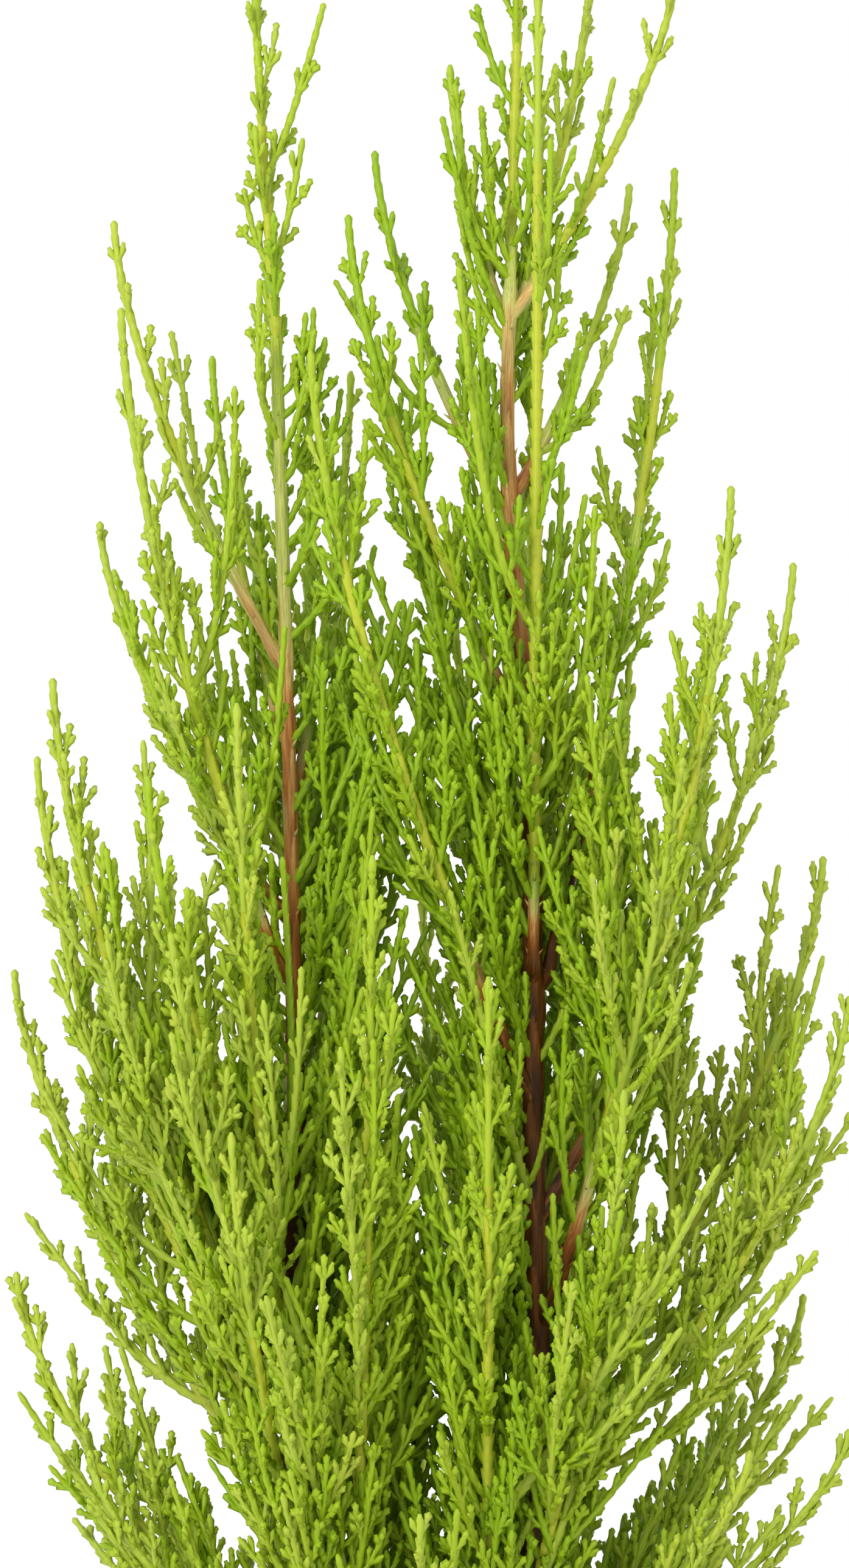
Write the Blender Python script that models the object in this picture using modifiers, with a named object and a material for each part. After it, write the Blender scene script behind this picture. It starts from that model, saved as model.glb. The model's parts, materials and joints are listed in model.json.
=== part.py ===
"""Potted lemon cypress: two stems that fork just above the soil, carrying upright plumes of foliage.

Metres, +Z up. The origin is at the centre of the pot's flat underside and -Y is the front.
Each plume is one closed uneven solid, lofted through horizontal sections that share one set of
heights. At each height a section is cut back from its neighbours, the stems and the bare boughs,
so that the plumes crowd together without running into each other.
"""

import math
import random
from dataclasses import dataclass

import bmesh
import bpy
from mathutils import Vector

MM = 0.001
GAP = 0.3 * MM
SEED = 7

# Pot: a plain tapered clay pot with a collar rim, standing on a flat foot.
POT_HEIGHT = 122 * MM
POT_FOOT_RADIUS = 47 * MM
POT_BODY_TOP_RADIUS = 62 * MM
POT_RIM_RADIUS = 68 * MM
POT_RIM_DROP = 27 * MM
POT_WALL = 5 * MM
POT_FLOOR = 7 * MM
POT_EDGE = 1.6 * MM
POT_STEPS = 40
DRAIN_COUNT = 3
DRAIN_RADIUS = 4.5 * MM
DRAIN_CIRCLE = 24 * MM

# Soil: it fills the pot to a little below the rim, with a low mound that the stem stands on.
SOIL_TOP = 110 * MM
SOIL_MOUND = 3.5 * MM
SOIL_SEAT_RADIUS = 11 * MM
SOIL_STEPS = 20

# Stem foot: a flat cut at soil level, a root flare and a flat top that both stems spring from.
FOOT_BOTTOM = SOIL_TOP + GAP
FOOT_HEIGHT = 13 * MM
FOOT_FLARE_RADIUS = 9.5 * MM
FOOT_WAIST_RADIUS = 6.4 * MM
FOOT_TOP_RADIUS = 6.7 * MM
FOOT_STEPS = 12
STEM_START = FOOT_BOTTOM + FOOT_HEIGHT + GAP

STEM_STEP = 14 * MM
BOUGH_POINTS = 6
BOUGH_BASE_RADIUS = 1.15 * MM
BOUGH_END_RADIUS = 0.85 * MM

# Plume sections.
SECTION_STEP = 12 * MM
SECTION_SIDES = 8
SECTION_NOISE = 0.16
PLUME_WIDTH_AT_100MM = 17.5 * MM
PLUME_WIDTH_POWER = 0.55
PLUME_OPENING = 24 * MM
PLUME_BASE_RADIUS = 2.2 * MM
PLUME_GAP = 1.2 * MM
PLUME_BOW = 1.5
SMALLEST_SHARE = 0.32
LEAST_REACH = 0.7 * MM


@dataclass(frozen=True)
class Station:
    """A point that a stem passes through, with its radius there."""

    z: float
    x: float
    y: float
    radius: float


@dataclass(frozen=True)
class Plume:
    """One mass of foliage: the stem it springs from, where, its tip, and the bare share of its axis."""

    name: str
    stem: str
    base_z: float
    tip: tuple[float, float, float]
    bare: float = 0.0


@dataclass(frozen=True)
class Tier:
    """A fan of like plumes about the crown's centre, with azimuths counted from +X in degrees.

    The outermost plumes of the fan start and end higher than its middle by the rise.
    """

    name: str
    count: int
    first_azimuth: float
    last_azimuth: float
    reach: float
    base_z: float
    tip_z: float
    rise: float


# Each stem starts upright on the foot, swings out to its own side and then runs up nearly plumb.
STEMS = {
    "left": [
        Station(STEM_START, -3.3 * MM, 0, 2.9 * MM),
        Station(134 * MM, -5 * MM, 0, 2.7 * MM),
        Station(165 * MM, -17.5 * MM, 0, 2.4 * MM),
        Station(195 * MM, -24 * MM, 1 * MM, 2.15 * MM),
        Station(262 * MM, -24.5 * MM, 2 * MM, 1.85 * MM),
        Station(334 * MM, -25.8 * MM, 1 * MM, 1.4 * MM),
        Station(382 * MM, -27.2 * MM, 0, 1.3 * MM),
        Station(424 * MM, -28.4 * MM, 0, 1.1 * MM),
    ],
    "right": [
        Station(STEM_START, 3.3 * MM, 0, 3.0 * MM),
        Station(134 * MM, 5 * MM, 0, 2.9 * MM),
        Station(165 * MM, 17 * MM, -1 * MM, 2.7 * MM),
        Station(195 * MM, 22.8 * MM, 0, 2.5 * MM),
        Station(262 * MM, 22.4 * MM, 1 * MM, 2.2 * MM),
        Station(334 * MM, 21.7 * MM, 1 * MM, 1.8 * MM),
        Station(400 * MM, 17.4 * MM, 0, 1.45 * MM),
        Station(446 * MM, 18.2 * MM, 0, 1.1 * MM),
    ],
}
LEADER_TIPS = {
    "left": (-33 * MM, 0, 508 * MM),
    "right": (20 * MM, 0, 532 * MM),
}

# The plumes that give the crown its outline, from the top of each stem down.
PLUMES = [
    Plume("left_high", "left", 362 * MM, (-60 * MM, -12 * MM, 445 * MM), 0.20),
    Plume("left_upper_back", "left", 352 * MM, (-42 * MM, 27 * MM, 421 * MM)),
    Plume("left_inner_back", "left", 334 * MM, (-14 * MM, 28 * MM, 418 * MM)),
    Plume("left_upper", "left", 300 * MM, (-58 * MM, -25 * MM, 427 * MM)),
    Plume("left_shoulder", "left", 315 * MM, (-64 * MM, 13 * MM, 387 * MM)),
    Plume("left_cross", "left", 267 * MM, (-11 * MM, 34 * MM, 362 * MM), 0.20),
    Plume("left_hook", "left", 237 * MM, (-52 * MM, -44 * MM, 336 * MM)),
    Plume("left_mid_front", "left", 213 * MM, (-71 * MM, -30 * MM, 355 * MM), 0.10),
    Plume("left_inner_front", "left", 205 * MM, (-35 * MM, -44 * MM, 350 * MM)),
    Plume("left_mid", "left", 200 * MM, (-76 * MM, 4 * MM, 340 * MM)),
    Plume("left_mid_back", "left", 189 * MM, (-82 * MM, 28 * MM, 297 * MM)),
    Plume("left_low", "left", 150 * MM, (-79 * MM, -14 * MM, 239 * MM)),
    Plume("right_top_inner", "right", 436 * MM, (35 * MM, 16 * MM, 506 * MM)),
    Plume("right_top_outer", "right", 428 * MM, (51 * MM, -8 * MM, 498 * MM)),
    Plume("right_top_left", "right", 426 * MM, (6 * MM, 10 * MM, 478 * MM)),
    Plume("right_high_side", "right", 400 * MM, (42 * MM, 18 * MM, 455 * MM)),
    Plume("centre_top", "right", 392 * MM, (-9 * MM, 12 * MM, 461 * MM), 0.15),
    Plume("centre_high", "right", 351 * MM, (-14 * MM, -14 * MM, 446 * MM), 0.15),
    Plume("right_front", "right", 297 * MM, (23 * MM, -24 * MM, 496 * MM)),
    Plume("right_high", "right", 298 * MM, (51 * MM, 16 * MM, 458 * MM), 0.48),
    Plume("centre_back", "right", 293 * MM, (7 * MM, 34 * MM, 372 * MM), 0.20),
    Plume("centre_front", "right", 278 * MM, (-21 * MM, -34 * MM, 418 * MM), 0.12),
    Plume("right_mid", "right", 253 * MM, (75 * MM, 20 * MM, 379 * MM), 0.10),
    Plume("right_mid_front", "right", 232 * MM, (60 * MM, -34 * MM, 392 * MM), 0.10),
    Plume("right_mid_back", "right", 200 * MM, (81 * MM, 20 * MM, 320 * MM)),
    Plume("right_shoulder", "right", 186 * MM, (84 * MM, -14 * MM, 293 * MM)),
    Plume("right_low", "right", 160 * MM, (77 * MM, 20 * MM, 232 * MM)),
    Plume("right_low_front", "right", 142 * MM, (84 * MM, -12 * MM, 208 * MM)),
    Plume("front_low_1", "left", 159 * MM, (-36 * MM, -46 * MM, 268 * MM)),
    Plume("front_low_2", "left", 153 * MM, (-9 * MM, -53 * MM, 321 * MM)),
    Plume("front_low_3", "right", 153 * MM, (13 * MM, -54 * MM, 298 * MM)),
    Plume("front_low_4", "right", 159 * MM, (39 * MM, -44 * MM, 276 * MM)),
]

# The plumes that fill the back and the skirt over the pot's rim.
TIERS = [
    Tier("skirt_front", 3, -152, -28, 72 * MM, 130 * MM, 198 * MM, 8 * MM),
    Tier("skirt_back", 3, 152, 28, 72 * MM, 130 * MM, 206 * MM, 8 * MM),
    Tier("back_mid", 3, 128, 52, 64 * MM, 190 * MM, 318 * MM, 12 * MM),
    Tier("back_high", 2, 118, 62, 48 * MM, 276 * MM, 392 * MM, 14 * MM),
]


def clear_scene():
    """Removes whatever the file opened with."""
    for obj in list(bpy.data.objects):
        bpy.data.objects.remove(obj)


def new_collection(name):
    """A collection linked to the scene."""
    collection = bpy.data.collections.new(name)
    bpy.context.scene.collection.children.link(collection)
    return collection


def material(name, colour, roughness):
    """A plain finish for one kind of part."""
    made = bpy.data.materials.new(name)
    made.use_nodes = True
    shader = made.node_tree.nodes["Principled BSDF"]
    shader.inputs["Base Color"].default_value = (*colour, 1)
    shader.inputs["Roughness"].default_value = roughness
    shader.inputs["Metallic"].default_value = 0
    return made


def add_object(name, data, finish, collection):
    """Links a mesh or curve as a named object with its finish."""
    obj = bpy.data.objects.new(name, data)
    data.materials.append(finish)
    collection.objects.link(obj)
    return obj


def turned(name, profile, steps, finish, collection):
    """A turned solid from a profile that starts and ends on the axis, its outer side running down."""
    mesh = bpy.data.meshes.new(name)
    edges = [(i, i + 1) for i in range(len(profile) - 1)]
    mesh.from_pydata([(radius, 0, z) for radius, z in profile], edges, [])
    obj = add_object(name, mesh, finish, collection)
    screw = obj.modifiers.new("Turn", "SCREW")
    screw.steps = screw.render_steps = steps
    screw.use_merge_vertices = True
    screw.merge_threshold = 0.01 * MM
    screw.use_smooth_shade = True
    return obj


def tube(name, points, radii, finish, collection):
    """A tapering round limb through the points."""
    curve = bpy.data.curves.new(name, "CURVE")
    curve.dimensions = "3D"
    curve.bevel_depth = 1
    curve.bevel_resolution = 2
    curve.use_fill_caps = True
    spline = curve.splines.new("POLY")
    spline.points.add(len(points) - 1)
    for control, point, radius in zip(spline.points, points, radii):
        control.co = (*point, 1)
        control.radius = radius
    return add_object(name, curve, finish, collection)


def ease(share):
    """A smooth step from 0 to 1, held at its ends."""
    share = min(max(share, 0), 1)
    return share * share * (3 - 2 * share)


def hermite(before, start, end, after, z, read):
    """The value that read() takes at height z, on a smooth curve through four stations."""
    span = end.z - start.z
    share = (z - start.z) / span
    slope_in = (read(end) - read(before)) / (end.z - before.z) * span
    slope_out = (read(after) - read(start)) / (after.z - start.z) * span
    squared, cubed = share**2, share**3
    return (
        (2 * cubed - 3 * squared + 1) * read(start)
        + (cubed - 2 * squared + share) * slope_in
        + (3 * squared - 2 * cubed) * read(end)
        + (cubed - squared) * slope_out
    )


def stem_at(stations, z):
    """The stem's centre and radius at a height, held at its ends."""
    z = min(max(z, stations[0].z), stations[-1].z)
    i = max(k for k in range(len(stations) - 1) if k == 0 or stations[k].z <= z)
    around = stations[max(i - 1, 0)], stations[i], stations[i + 1], stations[min(i + 2, len(stations) - 1)]
    x, y, radius = (hermite(*around, z, read) for read in (lambda s: s.x, lambda s: s.y, lambda s: s.radius))
    return Vector((x, y, z)), radius


def stem_heights(stations):
    """Heights of a stem's rings: one close above its foot, so that it starts plumb, then even steps."""
    low, high = stations[0].z, stations[-1].z
    count = round((high - low) / STEM_STEP)
    return [low, low + 2.5 * MM] + [low + (high - low) * k / count for k in range(1, count + 1)]


def shared_height(z):
    """The shared section height that is nearest to z."""
    return round(z / SECTION_STEP) * SECTION_STEP


class Limb:
    """A stem or bough as the plumes see it: close samples of its centre and of its level half width."""

    SAMPLE = 2 * MM

    def __init__(self, owner, points, radii):
        self.owner = owner
        self.samples = []
        for (a, ra), (b, rb) in zip(zip(points, radii), list(zip(points, radii))[1:]):
            slant = 1 / math.cos((b - a).angle(Vector((0, 0, 1))))
            count = max(1, math.ceil((b - a).length / self.SAMPLE))
            for k in range(count):
                self.samples.append((a.lerp(b, k / count), (ra + (rb - ra) * k / count) * slant))
        self.samples.append((points[-1], radii[-1] * slant))

    def at(self, z):
        """The sample nearest a height, moved along to it."""
        point, radius = min(self.samples, key=lambda sample: abs(sample[0].z - z))
        k = min(max(1, self.samples.index((point, radius))), len(self.samples) - 2)
        before, after = self.samples[k - 1][0], self.samples[k + 1][0]
        return point + (after - before) * (z - point.z) / (after.z - before.z), radius

    def near(self, z):
        """The samples about a height, or about the limb's nearer end if that is within one section step."""
        level = min(max(z, self.samples[0][0].z), self.samples[-1][0].z)
        if abs(z - level) > SECTION_STEP:
            return []
        return [sample for sample in self.samples if abs(sample[0].z - level) <= self.SAMPLE]


class PlumeAxis:
    """The curved line that a plume follows from its stem to its tip, and its width along it."""

    def __init__(self, plume, stem):
        self.name = plume.name
        self.bare = plume.bare
        self.tip = Vector(plume.tip)
        centre, radius = stem.at(plume.base_z if plume.bare else shared_height(plume.base_z))
        outward = Vector((self.tip.x - centre.x, self.tip.y - centre.y, 0)).normalized()
        seat = BOUGH_BASE_RADIUS if plume.bare else PLUME_BASE_RADIUS
        self.base = centre + outward * (radius + GAP + seat)
        self.start_z = shared_height(self.base.z + plume.bare * (self.tip.z - self.base.z))

    def at(self, z):
        """The axis's point at a height, held at its ends."""
        share = (z - self.base.z) / (self.tip.z - self.base.z)
        share = min(max(share, 0), 1)
        swing = 1 - (1 - share) ** PLUME_BOW
        point = self.base.lerp(self.tip, swing)
        point.z = self.base.z + share * (self.tip.z - self.base.z)
        return point

    def lean(self, z):
        """The angle between the axis and the upright at a height."""
        step = 0.5 * MM
        along = self.at(z) - self.at(z - step)
        return along.angle(Vector((0, 0, 1)))

    def width(self, z):
        """The plume's half width at a height, before it is cut back."""
        below_tip = max(self.tip.z - z, 0)
        full = PLUME_WIDTH_AT_100MM * (below_tip / (100 * MM)) ** PLUME_WIDTH_POWER
        opened = ease((z - self.start_z) / PLUME_OPENING)
        return min(full, PLUME_BASE_RADIUS) * (1 - opened) + full * opened


class LeaderAxis(PlumeAxis):
    """The axis of the plume that carries on from the end of a stem."""

    def __init__(self, tip, stem):
        self.name = stem.owner
        self.bare = 0
        self.tip = Vector(tip)
        self.base = stem.samples[-1][0] + Vector((0, 0, 1.5 * GAP))
        self.start_z = self.base.z


def tier_plumes(tier):
    """The plumes of one fan, each springing from the stem that is nearer its tip."""
    for k in range(tier.count):
        share = k / (tier.count - 1)
        azimuth = math.radians(tier.first_azimuth + share * (tier.last_azimuth - tier.first_azimuth))
        x, y = tier.reach * math.cos(azimuth), tier.reach * math.sin(azimuth)
        lift = tier.rise * abs(2 * share - 1)
        stem = "left" if x < 0 else "right"
        tip = (x, y, tier.tip_z + lift)
        yield Plume(f"{tier.name}_{k + 1}", stem, tier.base_z + lift, tip)


def bough_path(axis):
    """Points and radii of the bare bough that carries a plume, ending just short of its underside."""
    drop = BOUGH_END_RADIUS * math.sin(axis.lean(axis.start_z)) + GAP
    top = axis.start_z - drop
    shares = [k / (BOUGH_POINTS - 1) for k in range(BOUGH_POINTS)]
    points = [axis.at(axis.base.z + share * (top - axis.base.z)) for share in shares]
    radii = [BOUGH_BASE_RADIUS + share * (BOUGH_END_RADIUS - BOUGH_BASE_RADIUS) for share in shares]
    return points, radii


def cuts(axis, z, axes, limbs):
    """The flat cuts that keep a section clear: pairs of a direction and how far the section may go."""
    centre, width = axis.at(z), axis.width(z)
    for other in axes:
        if other is axis or not other.start_z - SECTION_STEP <= z <= other.tip.z + SECTION_STEP:
            continue
        between = other.at(max(z, other.start_z)) - centre
        between.z = 0
        other_width = max(other.width(z), PLUME_BASE_RADIUS)
        share = max(width, PLUME_BASE_RADIUS)
        share /= share + other_width
        share = min(max(share, SMALLEST_SHARE), 1 - SMALLEST_SHARE)
        yield between.normalized(), share * between.length - PLUME_GAP / 2
    for limb in limbs:
        if limb.owner == axis.name:
            continue
        for point, radius in limb.near(z):
            between = Vector((point.x - centre.x, point.y - centre.y, 0))
            yield between.normalized(), between.length - radius - GAP


def section(axis, z, axes, limbs, rng):
    """One ring of a plume: its outline at a height, uneven but for the lowest, cut back from what stands close."""
    centre, width = axis.at(z), axis.width(z)
    noise = SECTION_NOISE if z > axis.start_z else 0
    limits = list(cuts(axis, z, axes, limbs))
    ring = []
    for side in range(SECTION_SIDES):
        angle = math.tau * side / SECTION_SIDES
        outward = Vector((math.cos(angle), math.sin(angle), 0))
        reach = width * (1 + noise * rng.uniform(-1, 1))
        for direction, limit in limits:
            facing = outward.dot(direction)
            if facing > 0:
                reach = min(reach, limit / facing)
        ring.append(centre + outward * max(reach, LEAST_REACH))
    return ring


def section_heights(axis):
    """The heights of a plume's rings: its underside, then the shared heights up to its tip."""
    margin = 0.4 * SECTION_STEP
    first = math.floor((axis.start_z + margin) / SECTION_STEP) + 1
    last = math.floor((axis.tip.z - margin) / SECTION_STEP)
    return [axis.start_z] + [k * SECTION_STEP for k in range(first, last + 1)]


def build_plume(axis, axes, limbs, finish, collection):
    """The plume's solid: a loft through its rings, flat below and pointed above."""
    rng = random.Random(f"{SEED}{axis.name}")
    shape = bmesh.new()
    rings = [
        [shape.verts.new(point) for point in section(axis, z, axes, limbs, rng)] for z in section_heights(axis)
    ]
    shape.faces.new(reversed(rings[0]))
    for lower, upper in zip(rings, rings[1:]):
        for side in range(SECTION_SIDES):
            after = (side + 1) % SECTION_SIDES
            shape.faces.new((lower[side], lower[after], upper[after], upper[side]))
    tip = shape.verts.new(axis.tip)
    for side in range(SECTION_SIDES):
        shape.faces.new((rings[-1][side], rings[-1][(side + 1) % SECTION_SIDES], tip))
    mesh = bpy.data.meshes.new(axis.name)
    shape.to_mesh(mesh)
    shape.free()
    return add_object(f"plume_{axis.name}", mesh, finish, collection)


def build_pot(finish, collection, cutters):
    """The pot with its collar rim, hollow inside, and its drain holes."""
    collar_z = POT_HEIGHT - POT_RIM_DROP
    inner_foot = POT_FOOT_RADIUS - POT_WALL
    profile = [
        (0, POT_FLOOR),
        (inner_foot, POT_FLOOR),
        (POT_BODY_TOP_RADIUS - POT_WALL, collar_z),
        (POT_RIM_RADIUS - POT_WALL - POT_EDGE, POT_HEIGHT - POT_EDGE),
        (POT_RIM_RADIUS - POT_WALL, POT_HEIGHT),
        (POT_RIM_RADIUS - POT_EDGE, POT_HEIGHT),
        (POT_RIM_RADIUS, POT_HEIGHT - POT_EDGE),
        (POT_RIM_RADIUS - POT_EDGE, collar_z),
        (POT_BODY_TOP_RADIUS, collar_z - POT_EDGE),
        (POT_FOOT_RADIUS, POT_EDGE),
        (POT_FOOT_RADIUS - POT_EDGE, 0),
        (0, 0),
    ]
    pot = turned("pot", profile, POT_STEPS, finish, collection)
    for k in range(DRAIN_COUNT):
        azimuth = math.tau * k / DRAIN_COUNT
        place = (DRAIN_CIRCLE * math.cos(azimuth), DRAIN_CIRCLE * math.sin(azimuth), POT_FLOOR / 2)
        bpy.ops.mesh.primitive_cylinder_add(vertices=16, radius=DRAIN_RADIUS, depth=3 * POT_FLOOR, location=place)
        cutter = bpy.context.object
        cutter.name = f"drain_cutter_{k + 1}"
        cutter.hide_render = True
        cutter.display_type = "WIRE"
        for holder in list(cutter.users_collection):
            holder.objects.unlink(cutter)
        cutters.objects.link(cutter)
        hole = pot.modifiers.new(f"Drain {k + 1}", "BOOLEAN")
        hole.operation = "DIFFERENCE"
        hole.object = cutter
    return pot


def pot_inner_radius(z):
    """The radius of the pot's inside at a height below its collar's top."""
    collar_z = POT_HEIGHT - POT_RIM_DROP
    if z < collar_z:
        low, high, low_z, high_z = POT_FOOT_RADIUS, POT_BODY_TOP_RADIUS, POT_FLOOR, collar_z
    else:
        low, high, low_z, high_z = POT_BODY_TOP_RADIUS, POT_RIM_RADIUS - POT_EDGE, collar_z, POT_HEIGHT - POT_EDGE
    return low + (high - low) * (z - low_z) / (high_z - low_z) - POT_WALL


def build_soil(finish, collection):
    """The soil: it follows the pot's inside and rises in a low mound to the stem's seat."""
    edge_z = SOIL_TOP - SOIL_MOUND
    collar_z = POT_HEIGHT - POT_RIM_DROP
    bottom = POT_FLOOR + GAP
    profile = [
        (0, SOIL_TOP),
        (SOIL_SEAT_RADIUS, SOIL_TOP),
        (0.55 * pot_inner_radius(edge_z), (SOIL_TOP + edge_z) / 2),
        (pot_inner_radius(edge_z) - 2 * GAP, edge_z),
        (pot_inner_radius(collar_z) - 2 * GAP, collar_z),
        (pot_inner_radius(bottom) - 2 * GAP, bottom),
        (0, bottom),
    ]
    return turned("soil", profile, SOIL_STEPS, finish, collection)


def build_foot(finish, collection):
    """The stem foot: flared where it meets the soil, flat above and below."""
    rings = 5
    flare = [
        (
            FOOT_WAIST_RADIUS + (FOOT_FLARE_RADIUS - FOOT_WAIST_RADIUS) * (1 - k / rings) ** 2,
            FOOT_BOTTOM + FOOT_HEIGHT * 0.8 * k / rings,
        )
        for k in range(rings + 1)
    ]
    top = FOOT_BOTTOM + FOOT_HEIGHT
    profile = [(0, top), (FOOT_TOP_RADIUS, top), *reversed(flare), (0, FOOT_BOTTOM)]
    return turned("stem_foot", profile, FOOT_STEPS, finish, collection)


def build_stem(name, finish, collection):
    """One stem as a tapering tube, and the limb that the plumes keep clear of."""
    stations = STEMS[name]
    placed = [stem_at(stations, z) for z in stem_heights(stations)]
    points, radii = [p for p, _ in placed], [r for _, r in placed]
    points[1].xy = points[0].xy
    tube(f"stem_{name}", points, radii, finish, collection)
    return Limb(f"{name}_leader", points, radii)


def main():
    """Builds the pot, the soil, the wood and every plume."""
    clear_scene()
    tree = new_collection("Potted lemon cypress")
    cutters = new_collection("Cutters")
    clay = material("clay", (0.55, 0.25, 0.15), 0.85)
    earth = material("earth", (0.045, 0.03, 0.02), 0.95)
    bark = material("bark", (0.12, 0.05, 0.02), 0.7)
    foliage = material("foliage", (0.27, 0.36, 0.05), 0.6)

    build_pot(clay, tree, cutters)
    build_soil(earth, tree)
    build_foot(bark, tree)
    stems = {name: build_stem(name, bark, tree) for name in STEMS}
    limbs = list(stems.values())

    fans = [plume for tier in TIERS for plume in tier_plumes(tier)]
    axes = [LeaderAxis(LEADER_TIPS[name], stems[name]) for name in STEMS]
    axes += [PlumeAxis(plume, stems[plume.stem]) for plume in PLUMES + fans]
    for axis in axes:
        if axis.bare:
            points, radii = bough_path(axis)
            tube(f"bough_{axis.name}", points, radii, bark, tree)
            limbs.append(Limb(axis.name, points, radii))
    for axis in axes:
        build_plume(axis, axes, limbs, foliage, tree)


main()
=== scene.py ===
"""The looks of the potted lemon cypress: scale-leaved shoots, bark, a clay pot and potting soil.

Metres, +Z up, in the frame's own place. Every mass of foliage is grown again from its base and tip by a
seeded branching rule, and the wood is rebuilt with its relief round the frame's own centre lines.
"""

from __future__ import annotations

import json
import logging
import math
from dataclasses import dataclass, field
from enum import Enum
from typing import Any, Iterable, Sequence

import bpy
import numpy as np
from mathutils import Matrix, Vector, noise

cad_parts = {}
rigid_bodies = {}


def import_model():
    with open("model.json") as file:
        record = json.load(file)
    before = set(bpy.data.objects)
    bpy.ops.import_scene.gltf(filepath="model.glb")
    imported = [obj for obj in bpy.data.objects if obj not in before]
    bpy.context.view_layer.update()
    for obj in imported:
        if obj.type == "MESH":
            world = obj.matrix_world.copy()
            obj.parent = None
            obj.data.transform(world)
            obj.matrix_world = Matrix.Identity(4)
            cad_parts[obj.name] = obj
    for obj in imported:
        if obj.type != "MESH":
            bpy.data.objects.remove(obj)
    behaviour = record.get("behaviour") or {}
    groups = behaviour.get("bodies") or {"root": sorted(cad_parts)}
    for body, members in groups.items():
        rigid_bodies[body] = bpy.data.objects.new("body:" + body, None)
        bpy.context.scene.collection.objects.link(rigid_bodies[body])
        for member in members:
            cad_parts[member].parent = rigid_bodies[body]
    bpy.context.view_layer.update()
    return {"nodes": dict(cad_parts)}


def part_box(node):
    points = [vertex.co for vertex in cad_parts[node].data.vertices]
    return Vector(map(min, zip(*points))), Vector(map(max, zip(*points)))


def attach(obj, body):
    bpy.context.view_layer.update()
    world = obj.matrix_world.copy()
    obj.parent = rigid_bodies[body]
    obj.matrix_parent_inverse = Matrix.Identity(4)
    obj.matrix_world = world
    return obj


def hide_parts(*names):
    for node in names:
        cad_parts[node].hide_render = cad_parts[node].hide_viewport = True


MM = 0.001
UP = np.array([0.0, 0.0, 1.0])
SEED = 11
MOST_TRIANGLES = 150_000

Pair = tuple[float, float]
Triple = tuple[float, float, float]
Array = np.ndarray
Socket = bpy.types.NodeSocket
Mesh = bpy.types.Mesh
Material = bpy.types.Material

log = logging.getLogger("cypress")


# ---------------- small vector helpers


def unit(vector: Array) -> Array:
    """The vector at length one.

    Args:
        vector: one vector, or rows of them.

    Returns:
        The same directions with length one.
    """
    length = np.linalg.norm(vector, axis=-1, keepdims=True)
    return vector / np.maximum(length, 1e-12)


def across(direction: Array) -> tuple[Array, Array]:
    """Two directions square to a direction and to each other.

    Args:
        direction: a unit vector.

    Returns:
        The two unit vectors.
    """
    helper = np.array([1.0, 0.0, 0.0]) if abs(direction[0]) < 0.8 else np.array([0.0, 1.0, 0.0])
    side = unit(np.cross(direction, helper))
    return side, np.cross(direction, side)


def ease(share: Array | float) -> Array | float:
    """A smooth step from 0 to 1, held at its ends."""
    held = np.clip(share, 0.0, 1.0)
    return held * held * (3.0 - 2.0 * held)


def lengths_along(points: Array) -> Array:
    """The distance from a line's first point to each of its points, along the line."""
    return np.concatenate([[0.0], np.cumsum(np.linalg.norm(np.diff(points, axis=0), axis=1))])


def at_lengths(places: Array | float, along: Array, rows: Array) -> Array:
    """Rows read off a line at given distances along it.

    Args:
        places: one distance, or several.
        along: the distance of each of the line's rows.
        rows: the line's rows of numbers.

    Returns:
        The row at the distance, or a row for each distance.
    """
    return np.stack([np.interp(places, along, column) for column in rows.T], axis=-1)


def tangents(points: Array) -> Array:
    """The direction of a line at each of its points."""
    return unit(np.gradient(points, axis=0))


def even_line(points: Array, step: float) -> Array:
    """A line's points again, evenly about a step apart.

    Args:
        points: the line's points.
        step: the distance between the new points, in metres.

    Returns:
        The new points, from the line's first to its last.
    """
    along = lengths_along(points)
    count = max(2, round(along[-1] / step))
    return at_lengths(np.linspace(0.0, along[-1], count + 1), along, points)


def smooth_through(stations: Array, step: float) -> Array:
    """Rows of numbers on a smooth curve through given rows.

    Args:
        stations: rows whose first three columns are a place; further columns are carried along.
        step: the distance between the rows that come out, in metres.

    Returns:
        The rows, from the first station to the last.
    """
    knots = lengths_along(stations[:, :3])
    slopes = np.gradient(stations, knots, axis=0)
    count = max(2, int(round(knots[-1] / step)))
    at = np.linspace(0.0, knots[-1], count + 1)
    piece = np.clip(np.searchsorted(knots, at, side="right") - 1, 0, len(knots) - 2)
    span = (knots[piece + 1] - knots[piece])[:, None]
    t = (at - knots[piece])[:, None] / span
    return (
        (2 * t**3 - 3 * t**2 + 1) * stations[piece]
        + (t**3 - 2 * t**2 + t) * span * slopes[piece]
        + (3 * t**2 - 2 * t**3) * stations[piece + 1]
        + (t**3 - t**2) * span * slopes[piece + 1]
    )


def linear(colour: Iterable[float]) -> tuple[float, ...]:
    """A screen colour as the linear values that shaders take."""
    return tuple(c / 12.92 if c <= 0.04045 else ((c + 0.055) / 1.055) ** 2.4 for c in colour)


# ---------------- reading the frame


def corner_points(node: str, nodes: dict[str, bpy.types.Object]) -> Array:
    """The different corners of a frame node.

    Args:
        node: the node's name.
        nodes: the frame's nodes by name.

    Returns:
        The corners, lowest first.
    """
    mesh = nodes[node].data
    flat = np.empty(len(mesh.vertices) * 3, np.float32)
    mesh.vertices.foreach_get("co", flat)
    points = np.unique(np.round(flat.reshape(-1, 3).astype(float), 6), axis=0)
    return points[np.argsort(points[:, 2], kind="stable")]


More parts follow.
